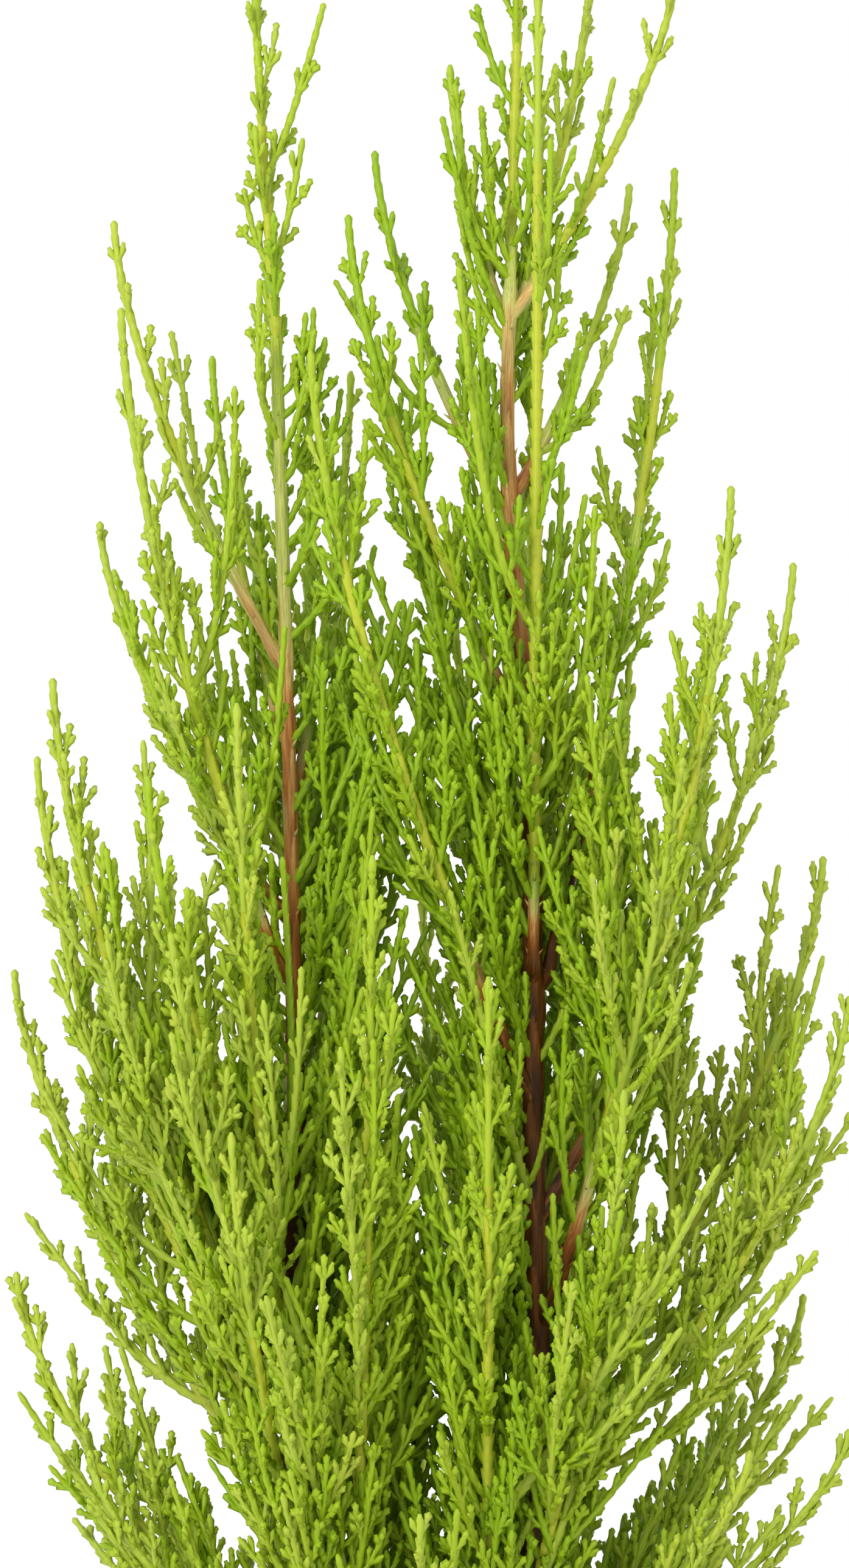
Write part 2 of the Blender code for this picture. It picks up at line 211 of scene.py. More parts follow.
def limb_stations(node: str, nodes: dict[str, bpy.types.Object], sides: int = 8) -> Array:
    """The centre and radius of each ring of a frame limb.

    Args:
        node: the limb's name.
        nodes: the frame's nodes by name.
        sides: how many corners each of its rings has.

    Returns:
        Rows of x, y, z and radius, lowest first.
    """
    rings = corner_points(node, nodes).reshape(-1, sides, 3)
    centres = rings.mean(axis=1)
    radii = np.linalg.norm(rings - centres[:, None], axis=2).mean(axis=1)
    return np.column_stack([centres, radii])


# ---------------- node trees


class TreeMaker:
    """Adds nodes to a geometry or shader tree and joins them up as it goes."""

    def __init__(self, tree: bpy.types.NodeTree) -> None:
        """Starts on a tree."""
        self.tree = tree

    def add(self, kind: str, settings: dict[str, Any] | None = None, **inputs: Any) -> bpy.types.Node:
        """Adds a node.

        Args:
            kind: the node's type.
            settings: attributes of the node itself.
            **inputs: values or sockets by input name, with _ for a blank, or i0, i1... by place.

        Returns:
            The node.
        """
        node = self.tree.nodes.new(kind)
        for name, value in (settings or {}).items():
            setattr(node, name, value)
        for name, value in inputs.items():
            if name[0] == "i" and name[1:].isdigit():
                socket = node.inputs[int(name[1:])]
            else:
                socket = node.inputs[name.replace("_", " ")]
            if isinstance(value, Socket):
                self.tree.links.new(value, socket)
            else:
                socket.default_value = value
        return node

    def math(self, operation: str, *values: Any) -> Socket:
        """The result of a Math node.

        Args:
            operation: the node's operation.
            *values: numbers or sockets, in order.

        Returns:
            The socket that carries the result.
        """
        inputs = {f"i{k}": value for k, value in enumerate(values)}
        return self.add("ShaderNodeMath", {"operation": operation}, **inputs).outputs[0]

    def vector(self, operation: str, *values: Any, scale: Any = None) -> Socket:
        """The result of a Vector Math node.

        Args:
            operation: the node's operation.
            *values: vectors or sockets, in order.
            scale: the factor, for the operation that scales.

        Returns:
            The socket that carries the result.
        """
        inputs = {f"i{k}": value for k, value in enumerate(values)}
        if scale is not None:
            inputs["Scale"] = scale
        return self.add("ShaderNodeVectorMath", {"operation": operation}, **inputs).outputs[0]


class GeometryTree(TreeMaker):
    """A geometry tree with named inputs that ends in real geometry with its finish."""

    def __init__(self, name: str, inputs: dict[str, tuple[str, Any]]) -> None:
        """Makes the tree.

        Args:
            name: the tree's name.
            inputs: socket type and default value by input name.
        """
        super().__init__(bpy.data.node_groups.new(name, "GeometryNodeTree"))
        face = self.tree.interface
        face.new_socket("Geometry", in_out="INPUT", socket_type="NodeSocketGeometry")
        self.identifiers: dict[str, str] = {}
        for label, (kind, default) in {**inputs, "Finish": ("NodeSocketMaterial", None)}.items():
            socket = face.new_socket(label, in_out="INPUT", socket_type=kind)
            if default is not None:
                socket.default_value = default
            self.identifiers[label] = socket.identifier
        face.new_socket("Geometry", in_out="OUTPUT", socket_type="NodeSocketGeometry")
        self.given = self.add("NodeGroupInput").outputs

    def attribute(self, name: str, kind: str) -> Socket:
        """A named attribute of the geometry."""
        return self.add("GeometryNodeInputNamedAttribute", {"data_type": kind}, Name=name).outputs[0]

    def capture(self, geometry: Socket, kind: str, value: Socket) -> tuple[Socket, Socket]:
        """Holds a value on geometry as it is here.

        Args:
            geometry: the geometry.
            kind: FLOAT or VECTOR.
            value: the field to hold.

        Returns:
            The geometry, and the value it holds.
        """
        node = self.add("GeometryNodeCaptureAttribute")
        node.capture_items.new(kind, "Held")
        self.tree.links.new(geometry, node.inputs[0])
        self.tree.links.new(value, node.inputs["Held"])
        return node.outputs[0], node.outputs["Held"]

    def close(self, geometry: Socket, smooth: bool = True) -> None:
        """Ends the tree: shading, real instances, finish and output.

        Args:
            geometry: the geometry that the tree has made.
            smooth: whether its faces are shaded smooth.
        """
        shaded = self.add("GeometryNodeSetShadeSmooth", Geometry=geometry, Shade_Smooth=smooth)
        real = self.add("GeometryNodeRealizeInstances", Geometry=shaded.outputs[0])
        finish = self.given["Finish"]
        dressed = self.add("GeometryNodeSetMaterial", Geometry=real.outputs[0], Material=finish)
        self.add("NodeGroupOutput", Geometry=dressed.outputs[0])

    def grow(self, source: Mesh, name: str, values: dict[str, Any]) -> bpy.types.Object:
        """Runs the tree on a mesh and keeps the result as a plain mesh object.

        Args:
            source: the mesh that carries the guides; it is used up.
            name: the finished piece's name.
            values: the tree's inputs by name.

        Returns:
            The finished object, linked to the scene.
        """
        carrier = link_object(f"{name}_guides", source)
        modifier = carrier.modifiers.new(self.tree.name, "NODES")
        modifier.node_group = self.tree
        for label, value in values.items():
            modifier[self.identifiers[label]] = value
        evaluated = carrier.evaluated_get(bpy.context.evaluated_depsgraph_get())
        mesh = bpy.data.meshes.new_from_object(evaluated)
        mesh.name = name
        carrier.modifiers.remove(modifier)
        bpy.data.objects.remove(carrier)
        bpy.data.meshes.remove(source)
        return link_object(name, mesh)


class FinishTree(TreeMaker):
    """A new material with its shader, and the patterns that this plant's finishes share."""

    def __init__(self, name: str, roughness: float, specular: float) -> None:
        """Makes the material.

        Args:
            name: the material's name.
            roughness: the shader's roughness.
            specular: the shader's specular level.
        """
        self.material = bpy.data.materials.new(name)
        self.material.use_nodes = True
        super().__init__(self.material.node_tree)
        self.shader = self.tree.nodes["Principled BSDF"]
        self.shader.inputs["Roughness"].default_value = roughness
        self.shader.inputs["Specular IOR Level"].default_value = specular

    def place(self) -> Socket:
        """The place on the piece, in its own coordinates."""
        return self.add("ShaderNodeTexCoord").outputs["Object"]

    def noise(self, place: Socket, scale: float, detail: float, roughness: float = 0.5) -> Socket:
        """A noise pattern.

        Args:
            place: where the pattern is read.
            scale: how fine it is.
            detail: how many finer layers it has.
            roughness: how strong the finer layers are.

        Returns:
            The pattern's value.
        """
        node = self.add("ShaderNodeTexNoise", Vector=place, Scale=scale, Detail=detail, Roughness=roughness)
        return node.outputs[0]

    def between(self, share: Socket, low: Any, high: Iterable[float]) -> Socket:
        """A colour part of the way from one to another.

        Args:
            share: how far towards the second colour.
            low: the first colour, as a screen colour or a socket.
            high: the second, as a screen colour.

        Returns:
            The mixed colour.
        """
        first = low if isinstance(low, Socket) else (*linear(low), 1.0)
        mix = self.add("ShaderNodeMix", {"data_type": "RGBA"}, i0=share, i6=first, i7=(*linear(high), 1.0))
        return mix.outputs[2]

    def dress(self, colour: Socket, height: Socket, strength: float, depth: float) -> Material:
        """Joins a colour pattern and a relief to the shader.

        Args:
            colour: the base colour.
            height: the relief's height, from 0 to 1.
            strength: how strongly the relief shows.
            depth: how deep it is, in metres.

        Returns:
            The finished material.
        """
        self.tree.links.new(colour, self.shader.inputs["Base Color"])
        bump = self.add("ShaderNodeBump", Strength=strength, Distance=depth, Height=height)
        self.tree.links.new(bump.outputs[0], self.shader.inputs["Normal"])
        return self.material


def link_object(name: str, data: bpy.types.ID | None) -> bpy.types.Object:
    """An object for a mesh, a light or a camera, linked to the scene.

    Args:
        name: the object's name.
        data: what it shows.

    Returns:
        The object.
    """
    obj = bpy.data.objects.new(name, data)
    bpy.context.scene.collection.objects.link(obj)
    return obj


def seat_piece(obj: bpy.types.Object, nodes: Iterable[str]) -> None:
    """Puts a finished piece on the frame and reports it.

    Args:
        obj: the piece.
        nodes: the frame nodes that it replaces.
    """
    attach(obj, "root")
    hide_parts(*nodes)
    log.info("%s: %d faces", obj.name, len(obj.data.polygons))


def set_values(mesh: Mesh, values: dict[str, Array]) -> None:
    """Gives a mesh's points their attributes.

    Args:
        mesh: the mesh.
        values: numbers or vectors by attribute name, one to a point.
    """
    for label, data in values.items():
        kind, key = ("FLOAT_VECTOR", "vector") if data.ndim == 2 else ("FLOAT", "value")
        held = mesh.attributes.new(label, kind, "POINT")
        held.data.foreach_set(key, data.astype(np.float32).ravel())


def point_mesh(name: str, places: Array, values: dict[str, Array], edges: Array | None = None) -> Mesh:
    """A mesh of points that carry values, joined by edges or loose.

    Args:
        name: the mesh's name.
        places: the points.
        values: numbers or vectors by attribute name, one to a point.
        edges: pairs of points to join.

    Returns:
        The mesh.
    """
    mesh = bpy.data.meshes.new(name)
    mesh.vertices.add(len(places))
    mesh.vertices.foreach_set("co", places.astype(np.float32).ravel())
    if edges is not None:
        mesh.edges.add(len(edges))
        mesh.edges.foreach_set("vertices", edges.astype(np.int32).ravel())
    set_values(mesh, values)
    mesh.update()
    return mesh


def face_mesh(name: str, corners: Array, faces: Sequence[tuple[int, ...]]) -> Mesh:
    """A smoothly shaded mesh.

    Args:
        name: the mesh's name.
        corners: its corner places.
        faces: the corners of each face, in order.

    Returns:
        The mesh.
    """
    mesh = bpy.data.meshes.new(name)
    mesh.from_pydata(corners.tolist(), [], faces)
    mesh.shade_smooth()
    mesh.update()
    return mesh


# ---------------- the lines that everything grows on


@dataclass(frozen=True)
class StemLook:
    """What differs from stem to stem, in millimetres above the ground.

    Ages are heights with how far the bark has gone there from old to young. Knobs are heights with how
    far they stand out. Slots are the stretches of stem that no foliage hides from the front.
    """

    ages: tuple[Pair, ...]
    knobs: tuple[Pair, ...]
    slots: tuple[Pair, ...]
    fullness: float

    def age_at(self, z: float) -> float:
        """How far the bark has gone from old to young at a height."""
        heights, ages = zip(*self.ages)
        return float(np.interp(z / MM, heights, ages))


STEM_LOOKS = {
    "stem_left": StemLook(
        ages=(
            (110, 0.00), (262, 0.05), (298, 0.26), (330, 0.50),
            (348, 0.42), (366, 0.76), (402, 0.88), (424, 1.00),
        ),
        knobs=((267, 0.55), (236, 0.35)),
        slots=((238, 342), (352, 412)),
        fullness=0.94,
    ),
    "stem_right": StemLook(
        ages=(
            (110, 0.00), (286, 0.08), (312, 0.24), (352, 0.36),
            (395, 0.48), (423, 0.60), (434, 0.82), (446, 1.00),
        ),
        knobs=((262, 0.45), (290, 0.4), (330, 0.3)),
        slots=((232, 322), (362, 436)),
        fullness=1.0,
    ),
}


@dataclass
class StemLine:
    """A stem's centre line: close rows of x, y, z and radius, from its foot to its top."""

    name: str
    rows: Array

    @property
    def look(self) -> StemLook:
        """What sets this stem apart."""
        return STEM_LOOKS[self.name]

    def at(self, z: float) -> Array:
        """The row at a height, held at the stem's ends."""
        return at_lengths(z, self.rows[:, 2], self.rows)


@dataclass
class PlumeLine:
    """The line of one plume, from inside its stem to its tip.

    Distances are along the line: where it leaves the stem, where its leaves begin and where its bark ends.
    """

    stem: StemLine
    points: Array
    leaves_stem: float
    first_leaves: float
    bark_ends: float
    leader: bool


@dataclass
class Skeleton:
    """Reads the stems, the boughs and the plumes' lines from the frame.

    A plume's line starts a dip below the place where it leaves its stem, swings out by its bow, and stays
    woody for a while past its bare bough.
    """

    nodes: dict[str, bpy.types.Object]
    bow: float = 1.5
    bow_steps: int = 160
    stem_step: float = 0.55 * MM
    line_step: float = 1.0 * MM
    dip: float = 5 * MM
    leader_dip: float = 12 * MM
    sunk: float = 1.2 * MM
    bare_share: float = 0.7
    clear: float = 2.5 * MM
    leader_clear: float = 1.0 * MM
    woody: float = 13 * MM
    woody_luck: Pair = (0.7, 1.6)

    def __post_init__(self) -> None:
        """Reads the frame."""
        self.random = np.random.default_rng(SEED + 1)
        self.masses = sorted(name for name in self.nodes if name.startswith("plume_"))
        self.boughs = sorted(name for name in self.nodes if name.startswith("bough_"))
        self.stems = [self.stem(name) for name in STEM_LOOKS]
        self.plumes = [self.plume(mass) for mass in self.masses]

    def stem(self, name: str) -> StemLine:
        """A stem's smooth centre line."""
        return StemLine(name, smooth_through(limb_stations(name, self.nodes), self.stem_step))

    def plume(self, mass: str) -> PlumeLine:
        """The line of one plume.

        Args:
            mass: the frame node that holds the plume's place.

        Returns:
            The line, from inside the nearer stem, along the plume's bare bough if it has one, to its tip.
        """
        corners = corner_points(mass, self.nodes)
        base = corners[corners[:, 2] < corners[0, 2] + 0.01 * MM].mean(axis=0)
        tip = corners[-1]
        leader = mass.endswith("_leader")
        bough = mass.replace("plume_", "bough_")
        bare = 0.0
        if bough in self.nodes:
            foot = limb_stations(bough, self.nodes)[0, :3]
            bare = float(np.linalg.norm(base - foot))
            base = foot
        stem = min(self.stems, key=lambda s: float(np.linalg.norm(s.at(base[2])[:3] - base)))
        inside = stem.at(base[2] - (self.leader_dip if leader else self.dip))[:3]
        points = np.vstack([inside, self.bowed(base, tip)])
        points = even_line(points, self.line_step)
        points[1:-1] = (points[:-2] + 2 * points[1:-1] + points[2:]) / 4
        leaves_stem = float(np.linalg.norm(base - inside)) - (0.0 if leader else self.sunk)
        first = leaves_stem + bare * self.bare_share + (self.leader_clear if leader else self.clear)
        if leader:
            return PlumeLine(stem, points, leaves_stem, first, 0.0, leader)
        ends = leaves_stem + bare + self.woody * self.random.uniform(*self.woody_luck)
        return PlumeLine(stem, points, leaves_stem, first, ends, leader)

    def bowed(self, base: Array, tip: Array) -> Array:
        """A line that swings out from its base and then runs up to its tip.

        Args:
            base: where it starts.
            tip: where it ends.

        Returns:
            The line's points.
        """
        share = np.linspace(0.0, 1.0, self.bow_steps)[:, None]
        line = base + (tip - base) * (1.0 - (1.0 - share) ** self.bow)
        line[:, 2] = (base + (tip - base) * share)[:, 2]
        return line


# ---------------- bark


@dataclass(frozen=True)
class BarkFinish:
    """Bark that goes from old dark brown, by tan papery leaf bases, to young green.

    The tones run along the attribute "age", and the streaks follow the attribute "grain".
    """

    tones: tuple[tuple[float, Triple], ...] = (
        (0.00, (0.290, 0.165, 0.050)),
        (0.14, (0.420, 0.235, 0.070)),
        (0.32, (0.610, 0.350, 0.125)),
        (0.50, (0.730, 0.500, 0.250)),
        (0.64, (0.800, 0.680, 0.400)),
        (0.80, (0.740, 0.750, 0.400)),
        (1.00, (0.640, 0.730, 0.230)),
    )
    roughness: float = 0.42
    specular: float = 0.36
    streaks: float = 0.33
    streak_grain: Triple = (900.0, 900.0, 70.0)
    fibre_grain: Triple = (2600.0, 2600.0, 160.0)
    shading: Pair = (1.7, 0.15)
    relief: Pair = (0.8, 0.25 * MM)

    def make(self, name: str) -> Material:
        """Makes the material.

        Args:
            name: the material's name.

        Returns:
            The material.
        """
        tree = FinishTree(name, self.roughness, self.specular)
        age = tree.add("ShaderNodeAttribute", {"attribute_name": "age"}).outputs["Fac"]
        grain = tree.add("ShaderNodeAttribute", {"attribute_name": "grain"}).outputs["Vector"]
        streak = tree.noise(tree.vector("MULTIPLY", grain, self.streak_grain), 1.0, 4.0, 0.6)
        fibre = tree.noise(tree.vector("MULTIPLY", grain, self.fibre_grain), 1.0, 3.0, 0.7)
        swing = tree.math("MULTIPLY_ADD", tree.math("SUBTRACT", streak, 0.5), 2 * self.streaks, age)
        ramp = tree.add("ShaderNodeValToRGB", i0=swing)
        stops = ramp.color_ramp.elements
        for k, (place, tone) in enumerate(self.tones):
            stop = stops[k] if k < 2 else stops.new(place)
            stop.position = place
            stop.color = (*linear(tone), 1.0)
        shade = tree.math("MULTIPLY_ADD", fibre, *self.shading)
        toned = tree.vector("SCALE", ramp.outputs[0], scale=shade)
        return tree.dress(toned, fibre, *self.relief)


@dataclass
class LeafBase:
    """An old leaf's base on a limb: a scale that points up the limb to its tip."""

    along: float
    azimuth: float
    length: float


@dataclass
class BarkedLimb:
    """A limb to be clad in bark: close rows of x, y, z, radius and age, with its leaf bases.

    Swellings are places along it with their height and reach. Fibres are waves round the limb that
    drift to and fro along it, over drift lengths in millimetres. Its relief dies away below the thin
    radius. Old bark is rougher than young.
    """

    rows: Array
    sides: int
    bases: list[LeafBase] = field(default_factory=list)
    swellings: list[Triple] = field(default_factory=list)
    relief: float = 0.40 * MM
    base_overlap: float = 0.3
    base_half_angle: float = 1.5
    fibre: float = 0.11 * MM
    fibre_waves: tuple[int, ...] = (3, 5, 8, 11)
    drift: float = 1.6
    drift_lengths: Pair = (6, 16)
    peel: float = 0.30
    roughness_old: float = 1.15
    roughness_lost: float = 0.6
    thin: float = 1.6 * MM
    buttress: float = 0.0
    buttress_fade: float = 1.6

    def frames(self) -> tuple[Array, Array]:
        """Two directions square to the limb at each row, carried along without twisting.

        Returns:
            The first direction at each row, and the second.
        """
        headings = tangents(self.rows[:, :3])
        sides = np.empty_like(headings)
        sides[0] = across(headings[0])[0]
        for k in range(1, len(headings)):
            sides[k] = unit(sides[k - 1] - headings[k] * float(sides[k - 1] @ headings[k]))
        return sides, np.cross(headings, sides)

    def raised(self, along: Array, angles: Array) -> Array:
        """How far the leaf bases stand out over the limb's grid.

        Args:
            along: the distance of each ring along the limb.
            angles: the angle of each corner round it.

        Returns:
            A share from 0 to 1 by ring and corner: scales that widen downwards and rise to their tips.
        """
        out = np.zeros((len(along), len(angles)))
        for base in self.bases:
            low, high = base.along - base.length, base.along + self.base_overlap * base.length
            rows = np.flatnonzero((along >= low) & (along <= high))
            if not len(rows):
                continue
            share = ((along[rows] - low) / (high - low))[:, None]
            half = self.base_half_angle * (1.0 - share**1.6) ** 0.8 + 0.02
            off = np.abs((angles[None, :] - base.azimuth + math.pi) % math.tau - math.pi)
            edge = ease((1.0 - off / half) * 3.0)
            out[rows] = np.maximum(out[rows], edge * (0.25 + 0.75 * share))
        return out

    def fibres(self, along: Array, angles: Array, random: np.random.Generator) -> Array:
        """The fibres' height over the limb's grid.

        Args:
            along: the distance of each ring along the limb.
            angles: the angle of each corner round it.
            random: the source of the waves' phases.

        Returns:
            A share from -1 to 1 by ring and corner.
        """
        out = np.zeros((len(along), len(angles)))
        for waves in self.fibre_waves:
            sway = along / (random.uniform(*self.drift_lengths) * MM) + random.uniform(0, 6)
            drift = self.drift * np.sin(sway)[:, None]
            wave = np.sin(waves * angles[None, :] + random.uniform(0, 6) + drift)
            out = out + wave / len(self.fibre_waves)
        return out

    def grid(self, random: np.random.Generator) -> tuple[Array, Array, Array]:
        """The limb's skin.

        Args:
            random: the source of the fibres' phases.

        Returns:
            The corners, ring by ring, with the age and the grain place of each.
        """
        along = lengths_along(self.rows[:, :3])
        angles = np.linspace(0.0, math.tau, self.sides, endpoint=False)
        radius = self.rows[:, 3][:, None] + np.zeros(self.sides)
        for place, height, reach in self.swellings:
            radius = radius + (height * np.exp(-(((along - place) / reach) ** 2)))[:, None]
        fibres = self.fibres(along, angles, random)
        age = self.rows[:, 4][:, None]
        if self.buttress:
            low = (1.0 - along / along[-1])[:, None] ** self.buttress_fade
            lobes = 0.6 * np.cos(3 * angles + 0.4) + 0.4 * np.cos(5 * angles + 2.0)
            radius = radius + self.buttress * low * lobes[None, :]
        raised = self.raised(along, angles)
        depth = (self.roughness_old - self.roughness_lost * age) * np.minimum(1.0, radius / self.thin)
        radius = radius + depth * (self.relief * (raised - 0.5) + self.fibre * fibres)
        tone = np.clip(age + self.peel * (1.0 - age) * (raised + 0.4 * fibres - 0.4), 0.0, 1.0)
        side, other = self.frames()
        cosines, sines = np.cos(angles), np.sin(angles)
        ring = cosines[None, :, None] * side[:, None] + sines[None, :, None] * other[:, None]
        corners = self.rows[:, None, :3] + ring * radius[:, :, None]
        start = random.uniform(0.0, 1.0)
        grain = np.stack([cosines * radius, sines * radius, (along + start)[:, None] + 0 * radius], -1)
        return corners.reshape(-1, 3), tone.ravel(), grain.reshape(-1, 3)

    def place(self, along: float, azimuth: float) -> tuple[Array, Array, Array]:
        """A point on the limb's skin.

        Args:
            along: how far along the limb it is.
            azimuth: its angle round the limb.

        Returns:
            The point, the direction out of the skin and the direction up the limb.
        """
        distances = lengths_along(self.rows[:, :3])
        k = min(int(np.searchsorted(distances, along)), len(distances) - 1)
        side, other = self.frames()
        outward = math.cos(azimuth) * side[k] + math.sin(azimuth) * other[k]
        up = tangents(self.rows[:, :3])[k]
        return self.rows[k, :3] + outward * self.rows[k, 3], outward, up


def bark_mesh(name: str, limbs: list[BarkedLimb], random: np.random.Generator) -> Mesh:
    """Limbs clad in bark, as one mesh.

    Args:
        name: the mesh's name.
        limbs: the limbs.
        random: the source of their small differences.

    Returns:
        The mesh, with the attributes that the bark's finish reads.
    """
    corners: list[Array] = []
    ages: list[Array] = []
    grains: list[Array] = []
    faces: list[tuple[int, ...]] = []
    first = 0
    for limb in limbs:
        points, age, grain = limb.grid(random)
        rings, sides = len(points) // limb.sides, limb.sides
        ring, corner = np.arange(rings - 1)[:, None] * sides, np.arange(sides)[None, :]
        low, after = first + (ring + corner), first + (ring + (corner + 1) % sides)
        quads = np.stack([low, after, after + sides, low + sides], axis=-1).reshape(-1, 4)
        faces.extend(map(tuple, quads.tolist()))
        faces.append(tuple(range(first + sides - 1, first - 1, -1)))
        faces.append(tuple(range(first + (rings - 1) * sides, first + rings * sides)))
        corners.append(points)
        ages.append(age)
        grains.append(grain)
        first += len(points)
    mesh = face_mesh(name, np.concatenate(corners), faces)
    set_values(mesh, {"age": np.concatenate(ages), "grain": np.concatenate(grains)})
    return mesh


@dataclass
class Wood:
    """The stems, their foot, the boughs and the bark at the feet of the plumes.

    A bough's bark ends where its plume's main shoot takes over, whose half width is main_girth. Each
    swelling is a height and a reach. Leaf bases go up a limb in pairs, their places and turns a little
    off by luck. Tips are the free ends of old leaves: the share that has fallen off, how far the rest
    lean out, and how long and how deep in the bark they are, in millimetres.
    """

    skeleton: Skeleton
    main_girth: float
    stem_sides: int = 30
    stem_pitch: float = 8.5 * MM
    root_depth: float = 8.0 * MM
    root_draw: float = 0.35
    root_thin: float = 0.75
    base_swell: Pair = (0.4 * MM, 6.0 * MM)
    knob_reach: float = 3.6 * MM
    collar_swell: Pair = (0.16 * MM, 3.0 * MM)
    collar_rise: float = 3 * MM
    foot_sides: int = 72
    foot_rings: int = 40
    foot_waist: float = 7.1 * MM
    foot_dome: float = 7.0 * MM
    foot_shoulder: float = 3.0 * MM
    foot_flare: float = 2.2
    foot_age: float = 0.05
    foot_relief: float = 0.5 * MM
    foot_buttress: float = 1.7 * MM
    foot_bases: Pair = (10 * MM, 6 * MM)
    bough_sides: int = 14
    bough_step: float = 0.6 * MM
    bough_girth: float = 1.45 * MM
    twig_girth: float = 1.2 * MM
    bough_from: float = 6 * MM
    bough_past: float = 1.5 * MM
    bough_pitch: float = 5.0 * MM
    bough_relief: float = 0.2 * MM
    bough_swell: Pair = (0.22 * MM, 1.8 * MM)
    most_of_stem: float = 0.85
    base_start: Pair = (0.2, 0.8)
    base_luck: Pair = (0.12, 0.06)
    base_length: float = 1.5
    pair_turn_luck: float = 0.1
    pair_luck: Pair = (0.85, 1.15)
    tips_gone: float = 0.25
    tip_leans: Pair = (0.25, 0.9)
    tip_lengths: Pair = (0.9, 2.6)
    tip_root: float = 0.15
    tip_width: float = 0.20

    def __post_init__(self) -> None:
        """Starts the wood's own source of random numbers."""
        self.random = np.random.default_rng(SEED + 2)

    def leaf_bases(self, length: float, pitch: float) -> list[LeafBase]:
        """Crossed pairs of old leaf bases up a limb.

        Args:
            length: how far up they go.
            pitch: the distance from pair to pair.

        Returns:
            The leaf bases.
        """
        found = []
        turn_luck, step_luck = self.base_luck
        along = self.random.uniform(*self.base_start) * pitch
        azimuth = self.random.uniform(0, math.tau)
        while along < length:
            for half in (0.0, math.pi):
                turned = azimuth + half + self.random.normal(0.0, turn_luck)
                place = along + self.random.normal(0.0, step_luck) * pitch
                found.append(LeafBase(place, turned, pitch * self.base_length))
            azimuth += math.pi / 2 + self.random.normal(0.0, self.pair_turn_luck)
            along += pitch * self.random.uniform(*self.pair_luck)
        return found

    def stem_limb(self, stem: StemLine) -> BarkedLimb:
        """A stem with its root inside the foot, its knobs, and a collar where each plume leaves it.

        Args:
            stem: the stem's line.

        Returns:
            The limb.
        """
        count = round(self.root_depth / self.skeleton.stem_step)
        share = np.linspace(0.0, 1.0, count, endpoint=False)[:, None]
        drawn = self.root_draw + (1.0 - self.root_draw) * share
        thinned = self.root_thin + (1.0 - self.root_thin) * share
        root = stem.rows[0] * np.column_stack([drawn, drawn, np.ones_like(share), thinned])
        root[:, 2] -= self.root_depth * (1.0 - share[:, 0])
        rows = np.concatenate([root, stem.rows])
        along = lengths_along(rows[:, :3])
        ages = np.array([stem.look.age_at(z) for z in rows[:, 2]])
        limb = BarkedLimb(np.column_stack([rows, ages]), self.stem_sides)
        limb.bases = self.leaf_bases(along[-1], self.stem_pitch)
        limb.swellings.append((self.root_depth, *self.base_swell))
        for z, height in stem.look.knobs:
            place = float(np.interp(z * MM, rows[:, 2], along))
            limb.swellings.append((place, height * MM, self.knob_reach))
        for plume in self.skeleton.plumes:
            if plume.stem is stem and not plume.leader:
                place = float(np.interp(plume.points[0, 2] + self.collar_rise, rows[:, 2], along))
                limb.swellings.append((place, *self.collar_swell))
        return limb

    def foot_limb(self) -> BarkedLimb:
        """The flared foot that both stems stand on.

        Returns:
            The limb, with a dome round the stems' roots.
        """
        low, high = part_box("stem_foot")
        tall = high[2] - low[2]
        share = np.linspace(0.0, 1.0, self.foot_rings)
        height = (tall + self.foot_dome) * share
        flare = (1.0 - np.minimum(1.0, height / tall)) ** self.foot_flare
        radius = self.foot_waist + (0.5 * (high[0] - low[0]) - self.foot_waist) * flare
        over = (height - tall + self.foot_shoulder) / (self.foot_dome + self.foot_shoulder)
        radius *= np.sqrt(np.maximum(0.02, 1.0 - ease(over) ** 2))
        rows = np.column_stack([0 * share, 0 * share, low[2] + height, radius, self.foot_age + 0 * share])
        limb = BarkedLimb(rows, self.foot_sides, relief=self.foot_relief, buttress=self.foot_buttress)
        limb.bases = self.leaf_bases(*self.foot_bases)
        return limb

    def bough_limb(self, plume: PlumeLine) -> BarkedLimb:
        """The barked part of a plume's line, up to where its leaves cover it.

        Args:
            plume: the plume's line.

        Returns:
            The limb.
        """
        count = max(4, round(plume.bark_ends / self.bough_step))
        at = np.linspace(0.0, plume.bark_ends + self.bough_past, count)
        points = at_lengths(at, lengths_along(plume.points), plume.points)
        share = ease((at - plume.leaves_stem) / max(plume.bark_ends - plume.leaves_stem, 1e-6))
        foot_height = plume.points[0, 2]
        stem_age = plume.stem.look.age_at(foot_height)
        is_bough = plume.first_leaves - plume.leaves_stem > self.bough_from
        girth = self.bough_girth if is_bough else self.twig_girth
        radius = girth + (self.main_girth * 1.15 - girth) * share**0.7
        radius = np.minimum(radius, plume.stem.at(foot_height)[3] * self.most_of_stem)
        ages = stem_age + (1.0 - stem_age) * share**1.15
        rows = np.column_stack([points, radius, ages])
        limb = BarkedLimb(rows, self.bough_sides, relief=self.bough_relief)
        limb.bases = self.leaf_bases(at[-1], self.bough_pitch)
        limb.swellings.append((plume.leaves_stem, *self.bough_swell))
        return limb

